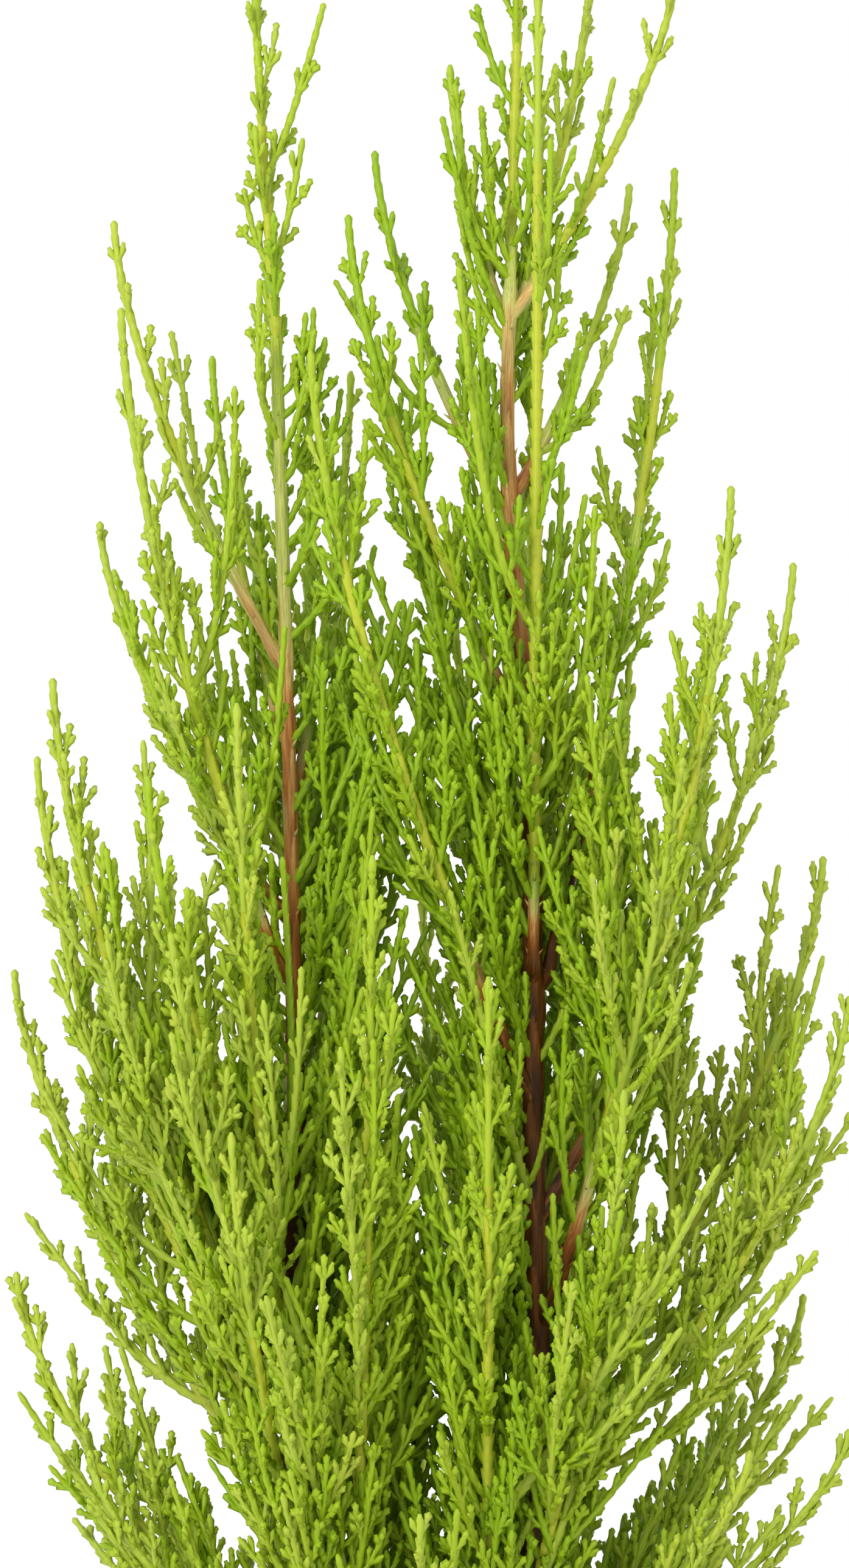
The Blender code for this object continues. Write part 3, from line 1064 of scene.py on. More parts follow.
    def tips(self, limbs: list[BarkedLimb], name: str, finish: Material) -> bpy.types.Object:
        """The free, dry tips of the old leaves, standing off the bark.

        Args:
            limbs: the limbs that carry them.
            name: the piece's name.
            finish: the bark's finish.

        Returns:
            The piece.
        """
        places, leans, sizes, ages = [], [], [], []
        for limb in limbs:
            length = lengths_along(limb.rows[:, :3])[-1]
            for base in limb.bases:
                if base.along > length or self.random.random() < self.tips_gone:
                    continue
                point, outward, up = limb.place(base.along + 0.2 * base.length, base.azimuth)
                places.append(point - outward * self.tip_root * MM)
                leans.append(unit(up + outward * self.random.uniform(*self.tip_leans)))
                long = self.random.uniform(*self.tip_lengths) * MM
                sizes.append(long * min(1.0, limb.rows[0, 3] / limb.thin))
                row = min(int(base.along / length * (len(limb.rows) - 1)), len(limb.rows) - 1)
                ages.append(min(1.0, float(limb.rows[row, 4]) * 0.8 + 0.34))
        values = {"lean": np.array(leans), "size": np.array(sizes), "age": np.array(ages)}
        guides = point_mesh(name, np.array(places), values)
        return free_tip_tree().grow(guides, name, {"Width": self.tip_width, "Finish": finish})

    def clad(self, name: str, limbs: list[BarkedLimb], finish: Material, nodes: list[str]) -> None:
        """Clads limbs in bark and seats them on the frame as one piece.

        Args:
            name: the piece's name.
            limbs: the limbs.
            finish: the bark's finish.
            nodes: the frame nodes that the piece replaces.
        """
        mesh = bark_mesh(name, limbs, self.random)
        mesh.materials.append(finish)
        seat_piece(link_object(name, mesh), nodes)

    def build(self) -> None:
        """Builds the bark and seats it on the frame."""
        finish = BarkFinish().make("bark")
        stems = [self.stem_limb(stem) for stem in self.skeleton.stems]
        for stem, limb in zip(self.skeleton.stems, stems):
            self.clad(f"{stem.name}_bark", [limb], finish, [stem.name])
        self.clad("stem_foot_bark", [self.foot_limb()], finish, ["stem_foot"])
        boughs = [self.bough_limb(plume) for plume in self.skeleton.plumes if not plume.leader]
        self.clad("bough_bark", boughs, finish, self.skeleton.boughs)
        tips = self.tips(stems + boughs, "dry_leaf_tips", finish)
        seat_piece(tips, [stem.name for stem in self.skeleton.stems] + self.skeleton.boughs)


def free_tip_tree() -> GeometryTree:
    """The tree that stands a thin pointed leaf tip on every point, leaning the way the point says.

    Returns:
        The tree, with the tips' width as a share of their length as its input.
    """
    tree = GeometryTree("Free leaf tips", {"Width": ("NodeSocketFloat", 0.2)})
    blade = tree.add("GeometryNodeMeshCone", Vertices=5, Radius_Bottom=1.0, Radius_Top=0.0, Depth=1.0)
    size = tree.attribute("size", "FLOAT")
    wide = tree.math("MULTIPLY", size, tree.given["Width"])
    scale = tree.add("ShaderNodeCombineXYZ", X=wide, Y=wide, Z=size).outputs[0]
    lean = tree.attribute("lean", "FLOAT_VECTOR")
    turn = tree.add("FunctionNodeAlignRotationToVector", {"axis": "Z"}, Vector=lean)
    cloud = tree.add("GeometryNodeMeshToPoints", Mesh=tree.given["Geometry"])
    stood = tree.add(
        "GeometryNodeInstanceOnPoints",
        Points=cloud.outputs[0],
        Instance=blade.outputs[0],
        Rotation=turn.outputs[0],
        Scale=scale,
    )
    tree.close(stood.outputs[0])
    return tree


# ---------------- foliage


class Tint(Enum):
    """The greens that sprays are dealt, from the yellow of a main shoot to the darker green inside the
    crown, which is partly painted shade.
    """

    GOLD = "gold"
    LEMON = "lemon"
    FRESH = "fresh"
    LEAF = "leaf"
    DEEP = "deep"
    SHADE = "shade"


@dataclass(frozen=True)
class LeafFinish:
    """The finish of one tint of scale leaves."""

    colour: Triple
    roughness: float = 0.44
    specular: float = 0.34

    def make(self, name: str) -> Material:
        """Makes the material.

        Args:
            name: the material's name.

        Returns:
            The material, with a plain base colour.
        """
        tree = FinishTree(name, self.roughness, self.specular)
        tree.shader.inputs["Base Color"].default_value = (*linear(self.colour), 1.0)
        return tree.material


# Partly lit and shaded copies of one leaf green: the lighter tints stand partly for painted light on the
# outside of the crown, the darker, greener ones for painted shade inside it.
LEAF_FINISHES = {
    Tint.GOLD: LeafFinish((0.690, 0.728, 0.165)),
    Tint.LEMON: LeafFinish((0.668, 0.734, 0.205)),
    Tint.FRESH: LeafFinish((0.648, 0.730, 0.205)),
    Tint.LEAF: LeafFinish((0.622, 0.718, 0.140)),
    Tint.DEEP: LeafFinish((0.588, 0.702, 0.080)),
    Tint.SHADE: LeafFinish((0.550, 0.682, 0.045)),
}


@dataclass(frozen=True)
class Habit:
    """How side shoots grow on a carrier of one range of lengths.

    Lengths are in metres and angles in degrees. A side shoot's length is a share of the distance that
    is left to its carrier's tip, plus a little. Paired, strong and short are the chances that the next
    one has a partner, that it grows to its strong share and that it stays half as long.
    """

    from_length: float
    spacing: float
    clear: float
    tip_clear: float
    share: float
    extra: float
    longest: float
    least: float
    leaving: float
    upright: float
    spread: float
    paired: float
    strong: float
    strong_share: float
    short: float


HABITS = (
    Habit(
        from_length=32 * MM, spacing=7.6 * MM, clear=4 * MM, tip_clear=4.0 * MM,
        share=0.28, extra=1.9 * MM, longest=26 * MM, least=2.2 * MM,
        leaving=40, upright=0.50, spread=0.16,
        paired=0.85, strong=0.24, strong_share=0.55, short=0.25,
    ),
    Habit(
        from_length=11.5 * MM, spacing=4.15 * MM, clear=3.2 * MM, tip_clear=2.8 * MM,
        share=0.33, extra=1.5 * MM, longest=11 * MM, least=2.0 * MM,
        leaving=43, upright=0.28, spread=0.30,
        paired=0.85, strong=0.0, strong_share=0.5, short=0.20,
    ),
    Habit(
        from_length=5.5 * MM, spacing=3.6 * MM, clear=2.8 * MM, tip_clear=1.8 * MM,
        share=0.30, extra=0.8 * MM, longest=4.5 * MM, least=1.4 * MM,
        leaving=40, upright=0.16, spread=0.36,
        paired=0.7, strong=0.0, strong_share=0.5, short=0.1,
    ),
)

LEAF_RELIEF = {
    "main_shoots": (0.50, 0.90),
    "main_tips": (0.68, 0.88),
    "sprays": (0.82, 0.86),
    "shoots": (1.00, 0.88),
}
SHOOT_LENGTHS = [2 * MM, 6 * MM, 14 * MM, 40 * MM, 90 * MM]
SHOOT_GIRTHS = [0.41 * MM, 0.43 * MM, 0.47 * MM, 0.60 * MM, 0.80 * MM]


def habit_of(length: float) -> Habit | None:
    """The habit of a carrier of a length, or None where it is too short to branch."""
    return next((habit for habit in HABITS if length >= habit.from_length), None)


def girth_of(length: float) -> float:
    """The half width of a shoot of a length, without its leaves."""
    return float(np.interp(length, SHOOT_LENGTHS, SHOOT_GIRTHS))


@dataclass
class Shoot:
    """One shoot: the points of its middle line, a leaf pair apart, with its half width at each."""

    points: Array
    girths: Array
    order: int
    roll: float
    leader: bool = False
    fullness: float = 1.0

    def __post_init__(self) -> None:
        """Works out the distances and directions that its side shoots need."""
        self.along = lengths_along(self.points)
        self.headings = tangents(self.points)


@dataclass
class LeafBed:
    """The shoots of one kind and tint, gathered for one or more finished pieces."""

    kind: str
    tint: Tint
    facets: int
    shoots: list[Shoot] = field(default_factory=list)

    def triangles(self, shoot: Shoot) -> int:
        """How many triangles a shoot comes to."""
        return (len(shoot.points) - 1) * 2 * self.facets + 2 * (self.facets - 2)

    def loads(self) -> list[list[Shoot]]:
        """Parts the shoots into loads that each stay under the most triangles of a piece.

        Returns:
            The loads, in the order in which the shoots were dealt.
        """
        total = sum(self.triangles(shoot) for shoot in self.shoots)
        count = max(1, math.ceil(total / MOST_TRIANGLES))
        loads: list[list[Shoot]] = [[]]
        filled = 0
        for shoot in self.shoots:
            if filled > total * len(loads) / count:
                loads.append([])
            loads[-1].append(shoot)
            filled += self.triangles(shoot)
        return loads


def leaf_free(shoot: Shoot) -> Array:
    """How far the leaves stand free along a shoot: not at its foot, and less at its tip.

    Args:
        shoot: the shoot.

    Returns:
        A share from 0 to 1 for each of its points.
    """
    free = np.ones(len(shoot.points))
    free[0] = 0.0
    free[-3:] = (0.6, 0.0, 0.0)[-len(free):]
    return free


def rounded(points: Array, girths: Array, order: int, roll: float) -> Shoot:
    """A shoot with a small ring added past its last point, so that its tip is blunt and round.

    Args:
        points: the points of its middle line.
        girths: its half width at each.
        order: how many shoots lie between it and its plume's main shoot.
        roll: which way its first pair of side shoots is turned.

    Returns:
        The shoot.
    """
    end = unit(points[-1] - points[-2])
    tip = points[-1] + end * girths[-1] * 1.3
    return Shoot(np.vstack([points, tip]), np.append(girths, girths[-1] * 0.42), order, roll)


def guide_mesh(name: str, shoots: list[Shoot]) -> Mesh:
    """The middle lines of shoots as one mesh of edges.

    Args:
        name: the mesh's name.
        shoots: the shoots.

    Returns:
        The mesh. Each of its points carries the half width, the way up the shoot to the next leaf
        pair, and which way its leaf pair is turned.
    """
    points = np.concatenate([shoot.points for shoot in shoots])
    values = {
        "girth": np.concatenate([shoot.girths for shoot in shoots]),
        "turn": np.concatenate([np.arange(len(shoot.points)) % 2 for shoot in shoots]),
        "rise": np.concatenate([np.gradient(s.points, axis=0) * leaf_free(s)[:, None] for s in shoots]),
    }
    follows = np.ones(len(points), bool)
    follows[0] = False
    follows[np.cumsum([len(shoot.points) for shoot in shoots])[:-1]] = False
    after = np.flatnonzero(follows)
    return point_mesh(name, points, values, np.column_stack([after - 1, after]))


def scale_leaf_tree() -> GeometryTree:
    """The tree that sheathes shoots in crossed pairs of scale leaves.

    Each point of a guide is a leaf pair. Round it the skin is pushed out, and up towards the next
    pair, where the leaves are, so that each leaf ends in a free tip over the foot of the next.

    Returns:
        The tree, with the leaves' swell, lift and facets as inputs.
    """
    tree = GeometryTree(
        "Scale leaves",
        {
            "Leaf swell": ("NodeSocketFloat", 0.3),
            "Leaf lift": ("NodeSocketFloat", 0.7),
            "Facets": ("NodeSocketInt", 4),
        },
    )
    given = tree.given
    lines = tree.add("GeometryNodeMeshToCurve", Mesh=given["Geometry"])
    place = tree.add("GeometryNodeInputPosition").outputs[0]
    line, heart = tree.capture(lines.outputs[0], "VECTOR", place)
    ring = tree.add("GeometryNodeCurvePrimitiveCircle", Resolution=given["Facets"], Radius=1.0)
    profile, corner = tree.capture(ring.outputs[0], "FLOAT", tree.add("GeometryNodeInputIndex").outputs[0])
    girth = tree.attribute("girth", "FLOAT")
    sweep = tree.add(
        "GeometryNodeCurveToMesh", Curve=line, Profile_Curve=profile, Scale=girth, Fill_Caps=True
    )
    around = tree.math("MULTIPLY", tree.math("DIVIDE", corner, given["Facets"]), 4 * math.pi)
    phase = tree.math("MULTIPLY_ADD", tree.attribute("turn", "FLOAT"), math.pi, around)
    leaf = tree.math("MULTIPLY_ADD", tree.math("COSINE", phase), 0.5, 0.5)
    outward = tree.vector("SUBTRACT", place, heart)
    swollen = tree.vector("SCALE", outward, scale=given["Leaf swell"])
    lifted = tree.vector("SCALE", tree.attribute("rise", "FLOAT_VECTOR"), scale=given["Leaf lift"])
    push = tree.vector("SCALE", tree.vector("ADD", swollen, lifted), scale=leaf)
    leafy = tree.add("GeometryNodeSetPosition", Geometry=sweep.outputs[0], Offset=push)
    cut = tree.add("GeometryNodeTriangulate", {"quad_method": "SHORTEST_DIAGONAL"}, Mesh=leafy.outputs[0])
    tree.close(cut.outputs[0])
    return tree


@dataclass
class Crown:
    """Grows every plume of the crown on its line, and turns the shoots into pieces.

    Axis girths are a main shoot's half widths at distances from its tip. A luck is the spread or the
    range of a random draw. Shoot pitch and bend are a length and a share of the shoot's own length:
    the first parts its points, and over the second it turns from its start to its aim, whose shares in
    its course follow. Gains and losses change the shoots that face into or out of the crown, by height.
    The skirt's shoots lean out where there is room. Reaches are the crown's half width and half depth.
    Slots in front of bare stems keep only a few of the shoots that would stand there. The envelope is
    the crown's half width at heights, in millimetres; sprays whose tips stand further out in it are dealt
    lighter tints, partly for young growth and partly as painted light, and those further in darker ones,
    as painted shade.
    """

    skeleton: Skeleton
    axis_girths: tuple[float, ...] = (0.54 * MM, 0.70 * MM, 0.98 * MM)
    axis_girths_at: tuple[float, ...] = (0.0, 30 * MM, 110 * MM)
    axis_pitch: float = 1.9 * MM
    tip_length: float = 42 * MM
    bark_overlap: float = 2 * MM
    length_luck: Pair = (0.8, 1.2)
    leaving_luck: Pair = (0.8, 1.2)
    spread_luck: float = 0.07
    facing_luck: float = 0.2
    turn_luck: float = 0.25
    spacing_luck: Pair = (0.75, 1.25)
    first_luck: float = 0.6
    tip_slim: Pair = (0.2, 22 * MM)
    longest_strong: float = 1.4
    end_length: float = 4 * MM
    shoot_pitch: Pair = (1.45 * MM, 0.008)
    shoot_bend: Pair = (1.5 * MM, 0.25)
    shoot_stray: float = 0.10
    course: Pair = (0.28, 0.72)
    depth_gain: float = 1.15
    inner_from: float = 150 * MM
    inner_clear: float = 4 * MM
    inner_lengths: Pair = (16 * MM, 44 * MM)
    inner_steps: Pair = (2.5 * MM, 5.5 * MM)
    inner_turn: float = 150
    inner_reach: float = 0.16
    between_stems: Pair = (150 * MM, 320 * MM)
    between_step: float = 5.0 * MM
    between_lengths: Pair = (38 * MM, 70 * MM)
    between_turn: float = 65
    between_reach: float = 0.42
    stem_leaving: Pair = (30, 50)
    stem_pitch: float = 1.5 * MM
    stem_stray: float = 0.08
    stem_bend: float = 1.6
    stem_end_length: float = 5 * MM
    # Sprays from the stems sit deep in the crown and are dealt darker tints: painted shade.
    stem_shade_mood: float = -0.05
    outer_loss: float = 0.20
    skirt_gain: float = 0.42
    loss_heights: Pair = (235 * MM, 275 * MM)
    inner_gain: float = 0.37
    gain_fades: Pair = (320 * MM, 385 * MM)
    skirt_lean: float = 0.45
    skirt_heights: tuple[float, ...] = (160 * MM, 180 * MM, 205 * MM, 230 * MM)
    skirt_room: Pair = (40 * MM, 62 * MM)
    reaches: Pair = (87 * MM, 77 * MM)
    open_above: Pair = (340 * MM, 430 * MM)
    opening_up: float = 0.75
    leader_opening: float = 0.3
    strong_from: float = 34 * MM
    slot_width: float = 2.4 * MM
    slot_depth: float = 1.5 * MM
    slot_keeps: float = 0.15
    twig_keeps: float = 0.50
    slot_longest: float = 60 * MM
    slim_below: float = 16 * MM
    own_tint_from: Pair = (32 * MM, 8 * MM)
    mood: float = 0.10
    envelope: tuple[Pair, ...] = ((330, 84), (400, 70), (450, 58), (500, 36), (532, 26))
    tint_luck: float = 0.16
    tint_steps: Pair = (0.12, 4.6)

    def __post_init__(self) -> None:
        """Starts the crown's own source of random numbers, with no shoot grown."""
        self.random = np.random.default_rng(SEED + 3)
        self.beds: dict[tuple[str, Tint], LeafBed] = {}

    def bed(self, kind: str, tint: Tint, facets: int) -> LeafBed:
        """The bed for shoots of a kind and tint, made when it is first asked for."""
        return self.beds.setdefault((kind, tint), LeafBed(kind, tint, facets))

    def main_shoot(self, plume: PlumeLine) -> Shoot:
        """The main shoot of a plume.

        Args:
            plume: the plume's line.

        Returns:
            The shoot, its girth easing off towards its tip.
        """
        points = even_line(plume.points, self.axis_pitch)
        along = lengths_along(points)
        left = along[-1] - along
        girths = np.interp(left, self.axis_girths_at, self.axis_girths)
        main = rounded(points, girths, 0, self.random.uniform(0, math.tau))
        main.leader = plume.leader
        main.fullness = 1.0 if plume.leader else plume.stem.look.fullness
        return main

    def dress_main(self, main: Shoot, plume: PlumeLine, tint: Tint) -> None:
        """Parts a main shoot into its yellow lower part and its tip, above the bark; the tip's dealt tint
        is lighter outside the crown as painted light and darker inside as painted shade.

        Args:
            main: the main shoot.
            plume: the plume's line.
            tint: the tint of the tip.
        """
        along = main.along
        start = max(0, int(np.searchsorted(along, plume.bark_ends - self.bark_overlap)) - 1)
        turn = max(start + 2, int(np.searchsorted(along, along[-1] - self.tip_length)))
        turn = min(turn, len(along) - 3)
        lower = Shoot(main.points[start : turn + 1], main.girths[start : turn + 1], 0, main.roll)
        upper = Shoot(main.points[turn:], main.girths[turn:], 0, main.roll)
        self.bed("main_shoots", Tint.GOLD, 8).shoots.append(lower)
        self.bed("main_tips", tint, 6).shoots.append(upper)

    def outward_growth(self, foot: Array, outward: float) -> Pair:
        """What a plume's side shoot makes of its place in the crown.

        Args:
            foot: where it springs.
            outward: how far it faces out of the crown, from -1 to 1.

        Returns:
            The factor on its length, and how far it leans out over the pot.
        """
        gain = self.inner_gain * float(np.interp(foot[2], self.gain_fades, (1.0, 0.0)))
        loss = float(np.interp(foot[2], self.loss_heights, (-self.skirt_gain, self.outer_loss)))
        room = float(np.interp(math.hypot(foot[0], foot[1] * self.depth_gain), self.skirt_room, (1.0, 0.0)))
        room *= float(np.interp(foot[2], self.skirt_heights, (0.0, 1.0, 1.0, 0.0)))
        return 1.0 - (loss if outward > 0.0 else gain) * outward, self.skirt_lean * room * max(0.0, outward)

    def side_shoot(
        self, carrier: Shoot, at: float, azimuth: float, habit: Habit, share: float
    ) -> Shoot | None:
        """One side shoot.

        Args:
            carrier: the shoot that carries it.
            at: how far along the carrier it springs, in metres.
            azimuth: the side of the carrier that it leaves from, in radians.
            habit: how side shoots grow on the carrier.
            share: its length as a share of the distance left to the carrier's tip.

        Returns:
            The shoot, or None where it would be too short.
        """
        left = carrier.along[-1] - at
        longest = habit.longest * max(1.0, share / habit.share * self.longest_strong)
        length = min(share * left + habit.extra, longest) * self.random.uniform(*self.length_luck)
        foot = at_lengths(at, carrier.along, carrier.points)
        heading = carrier.headings[min(int(np.searchsorted(carrier.along, at)), len(carrier.points) - 1)]
        side, other = across(heading)
        radial = math.cos(azimuth) * side + math.sin(azimuth) * other
        lean_out = 0.0
        if carrier.order == 0:
            factor, lean_out = self.outward_growth(foot, float(radial[:2] @ unit(foot[:2])))
            length *= factor * carrier.fullness
        lean = math.radians(habit.leaving * self.random.uniform(*self.leaving_luck))
        start = math.cos(lean) * heading + math.sin(lean) * radial
        spread = habit.spread + lean_out + self.spread_luck * self.random.standard_normal()
        aim = unit((1.0 - habit.upright) * heading + habit.upright * UP + spread * radial)
        length = self.within_reach(foot, self.course[0] * start + self.course[1] * aim, length)
        if length < habit.least:
            return None
        count = max(1, round(length / (self.shoot_pitch[0] + self.shoot_pitch[1] * length)))
        stray = unit(self.random.standard_normal(3))
        gone = (np.arange(count) + 0.5)[:, None] * (length / count)
        turn = 1.0 - np.exp(-gone / (self.shoot_bend[0] + self.shoot_bend[1] * length))
        headings = unit(start * (1.0 - turn) + aim * turn + self.shoot_stray * turn * stray)
        points = np.vstack([foot, foot + np.cumsum(headings * (length / count), axis=0)])
        girth, end_girth = girth_of(length), girth_of(self.end_length)
        girths = girth + (end_girth - girth) * np.linspace(0, 1, count + 1)
        return rounded(points, girths, carrier.order + 1, self.random.uniform(0, math.tau))

    def within_reach(self, foot: Array, course: Array, length: float) -> float:
        """A shoot's length, cut where it would grow out past the crown's reaches.

        Args:
            foot: where it springs.
            course: the way from there to its tip, for each metre of its length.
            length: the length it would like.

        Returns:
            The length it gets.
        """
        here = math.hypot(foot[0] / self.reaches[0], foot[1] / self.reaches[1])
        tip = foot + course * length
        there = math.hypot(tip[0] / self.reaches[0], tip[1] / self.reaches[1])
        if there <= 1.0 or there <= here:
            return length
        return length * max(0.0, (1.0 - here) / (there - here))

    def share_of(self, habit: Habit, left: float) -> float:
        """The share of the distance left to its carrier's tip that a side shoot grows to, by luck.

        Args:
            habit: how side shoots grow on the carrier.
            left: the distance left to the carrier's tip.

        Returns:
            The share.
        """
        luck = self.random.random()
        if luck < habit.strong * float(ease((left - self.strong_from) / self.strong_from)):
            return habit.strong_share
        return habit.share * 0.5 if luck > 1.0 - habit.short else habit.share

    def gap_after(self, carrier: Shoot, at: float, habit: Habit) -> float:
        """The distance to the next pair of side shoots: less near a plume's tip, more high in the crown.

        Args:
            carrier: the shoot that carries them.
            at: how far along it this pair stands.
            habit: how side shoots grow on it.

        Returns:
            The distance.
        """
        slim = 1.0
        if carrier.order == 0:
            slim -= self.tip_slim[0] * math.exp(-(carrier.along[-1] - at) / self.tip_slim[1])
        row = carrier.points[min(int(np.searchsorted(carrier.along, at)), len(carrier.points) - 1)]
        opening = self.leader_opening if carrier.leader else self.opening_up
        opened = 1.0 + opening * float(np.interp(row[2], self.open_above, (0.0, 1.0)))
        return habit.spacing * self.random.uniform(*self.spacing_luck) * slim * opened

    def branch(self, carrier: Shoot, clear: float | None = None) -> list[Shoot]:
        """The side shoots of one shoot, in crossed pairs from its foot to its tip.

        Args:
            carrier: the shoot.
            clear: where they begin along it; its habit's own clear length if not given.

        Returns:
            The side shoots.
        """
        habit = habit_of(carrier.along[-1])
        if habit is None:
            return []
        found: list[Shoot] = []
        at = habit.clear if clear is None else clear
        at += self.random.uniform(0.0, self.first_luck) * habit.spacing
        azimuth = carrier.roll
        while at < carrier.along[-1] - habit.tip_clear:
            paired = self.random.random() < habit.paired
            for half in range(2 if paired else 1):
                facing = azimuth + half * math.pi + self.random.normal(0.0, self.facing_luck)
                share = self.share_of(habit, carrier.along[-1] - at)
                shoot = self.side_shoot(carrier, at, facing, habit, share)
                if shoot is not None:
                    found.append(shoot)
            azimuth += math.pi / 2 + self.random.normal(0.0, self.turn_luck)
            at += self.gap_after(carrier, at, habit)
        return found

    def grow(self) -> None:
        """Grows every plume and deals the shoots out to their beds."""
        for plume in self.skeleton.plumes:
            main = self.main_shoot(plume)
            mood = self.random.normal(0.0, self.mood)
            self.dress_main(main, plume, self.deal(main, mood))
            for spray in self.branch(main, plume.first_leaves):
                self.grow_spray(spray, self.deal(spray, mood), mood)
        left, right = self.skeleton.stems
        for stem, other in ((left, right), (right, left)):
            self.grow_inner(stem)
            self.grow_between(stem, other)

    def grow_inner(self, stem: StemLine) -> None:
        """Grows the small sprays that spring straight from a stem, most of them to its sides and back.

        Args:
            stem: the stem.
        """
        z = self.inner_from
        while z < stem.rows[-1, 2] - self.inner_clear:
            azimuth = math.radians(90 + self.random.uniform(-self.inner_turn, self.inner_turn))
            length = self.random.uniform(*self.inner_lengths)
            self.grow_from_stem(stem, z, azimuth, length, self.inner_reach)
            z += self.random.uniform(*self.inner_steps)

    def grow_between(self, stem: StemLine, other: StemLine) -> None:
        """Fills the space low between the stems with longer sprays that lean to the other stem.

        Args:
            stem: the stem that they spring from.
            other: the stem that they lean to.
        """
        z = self.between_stems[0]
        while z < self.between_stems[1]:
            towards = other.at(z)[:2] - stem.at(z)[:2]
            turn = math.radians(self.random.uniform(-self.between_turn, self.between_turn))
            azimuth = math.atan2(towards[1], towards[0]) + turn
            length = self.random.uniform(*self.between_lengths)
            self.grow_from_stem(stem, z, azimuth, length, self.between_reach)
            z += self.between_step * self.random.uniform(0.7, 1.3)

    def grow_from_stem(self, stem: StemLine, z: float, azimuth: float, length: float, reach: float) -> None:
        """Grows one spray straight from a stem.

        Args:
            stem: the stem.
            z: the height where it springs.
            azimuth: the direction in which it leaves, in radians.
            length: its length.
            reach: how far its tip goes on leaning outwards, as a share of upright.
        """
        row = stem.at(z)
        radial = np.array([math.cos(azimuth), math.sin(azimuth), 0.0])
        count = max(4, round(length / self.stem_pitch))
        lean = math.radians(self.random.uniform(*self.stem_leaving))
        start = math.cos(lean) * UP + math.sin(lean) * radial
        aim = unit(UP + reach * radial + self.stem_stray * self.random.standard_normal(3))
        share = np.linspace(0.0, 1.0, count)[:, None]
        turn = ease(share * self.stem_bend)
        headings = unit(start * (1.0 - turn) + aim * turn)
        foot = row[:3] + radial * row[3] * 0.5
        points = np.vstack([foot, foot + np.cumsum(headings * (length / count), axis=0)])
        girths = np.linspace(girth_of(length), girth_of(self.stem_end_length), count + 1)
        spray = rounded(points, girths, 1, self.random.uniform(0, math.tau))
        # Sprays from the stems get a lower mood, so darker tints: painted shade deep in the crown.
        mood = self.random.normal(self.stem_shade_mood, self.mood)
        self.grow_spray(spray, self.deal(spray, mood), mood)

    def grow_spray(self, spray: Shoot, tint: Tint, mood: float) -> None:
        """Adds a spray and all that it carries; long sprays deal their own side sprays anew.

        Args:
            spray: the spray's own shoot.
            tint: its tint.
            mood: how much fresher than most its plume is; lower for sprays from the stems, as painted
                shade.
        """
        length = spray.along[-1]
        if length < self.slot_longest and self.hides_stem(spray):
            return
        kind, facets = ("shoots", 4) if length < self.slim_below else ("sprays", 6)
        self.bed(kind, tint, facets).shoots.append(spray)
        long, leafy = self.own_tint_from
        for shoot in self.branch(spray):
            own = self.deal(shoot, mood) if length > long and shoot.along[-1] > leafy else tint
            self.grow_spray(shoot, own, mood)

    def hides_stem(self, shoot: Shoot) -> bool:
        """Whether a shoot would stand in the slot that stays open in front of a bare stretch of stem.

        Args:
            shoot: the shoot.

        Returns:
            True where it would, and isn't one of the few that are kept.
        """
        for share in (0.35, 0.6, 0.8, 1.0):
            point = shoot.points[int(share * (len(shoot.points) - 1))]
            for stem in self.skeleton.stems:
                x, y = stem.at(point[2])[:2]
                if point[1] < y - self.slot_depth and abs(point[0] - x) < self.slot_width:
                    if any(low * MM < point[2] < high * MM for low, high in stem.look.slots):
                        keeps = self.slot_keeps if shoot.order == 1 else self.twig_keeps
                        return self.random.random() > keeps
        return False

    def deal(self, spray: Shoot, mood: float) -> Tint:
        """The tint of a spray: lighter and yellower towards the outside of the crown, partly for its fresh
        young growth and partly as painted light, and darker inside it as painted shade.

        Args:
            spray: the spray's own shoot.
            mood: how much fresher than most its plume is; lower for sprays from the stems, as painted
                shade.

        Returns:
            The tint.
        """
        tip = spray.points[-1]
        heights, widths = np.array(self.envelope).T * MM
        out = math.hypot(tip[0], tip[1] * self.depth_gain) / float(np.interp(tip[2], heights, widths))
        # Further out scores lighter: young growth, and painted light outside with painted shade inside.
        score = out + mood + self.random.normal(0.0, self.tint_luck)
        tints = (Tint.SHADE, Tint.DEEP, Tint.LEAF, Tint.FRESH, Tint.LEMON)
        first, steps = self.tint_steps
        return tints[int(np.clip((score - first) * steps, 0, len(tints) - 1))]

    def build(self) -> None:
        """Turns the beds into finished pieces on the frame."""
        tree = scale_leaf_tree()
        finishes = {tint: finish.make(f"leaf_{tint.value}") for tint, finish in LEAF_FINISHES.items()}
        for (kind, tint), bed in sorted(self.beds.items(), key=lambda item: (item[0][0], item[0][1].value)):
            swell, lift = LEAF_RELIEF[kind]
            values = {"Leaf swell": swell, "Leaf lift": lift, "Facets": bed.facets}
            values["Finish"] = finishes[tint]
            for number, load in enumerate(bed.loads(), 1):
                name = f"{kind}_{tint.value}_{number}"
                seat_piece(tree.grow(guide_mesh(name, load), name, values), self.skeleton.masses)


# ---------------- pot and soil


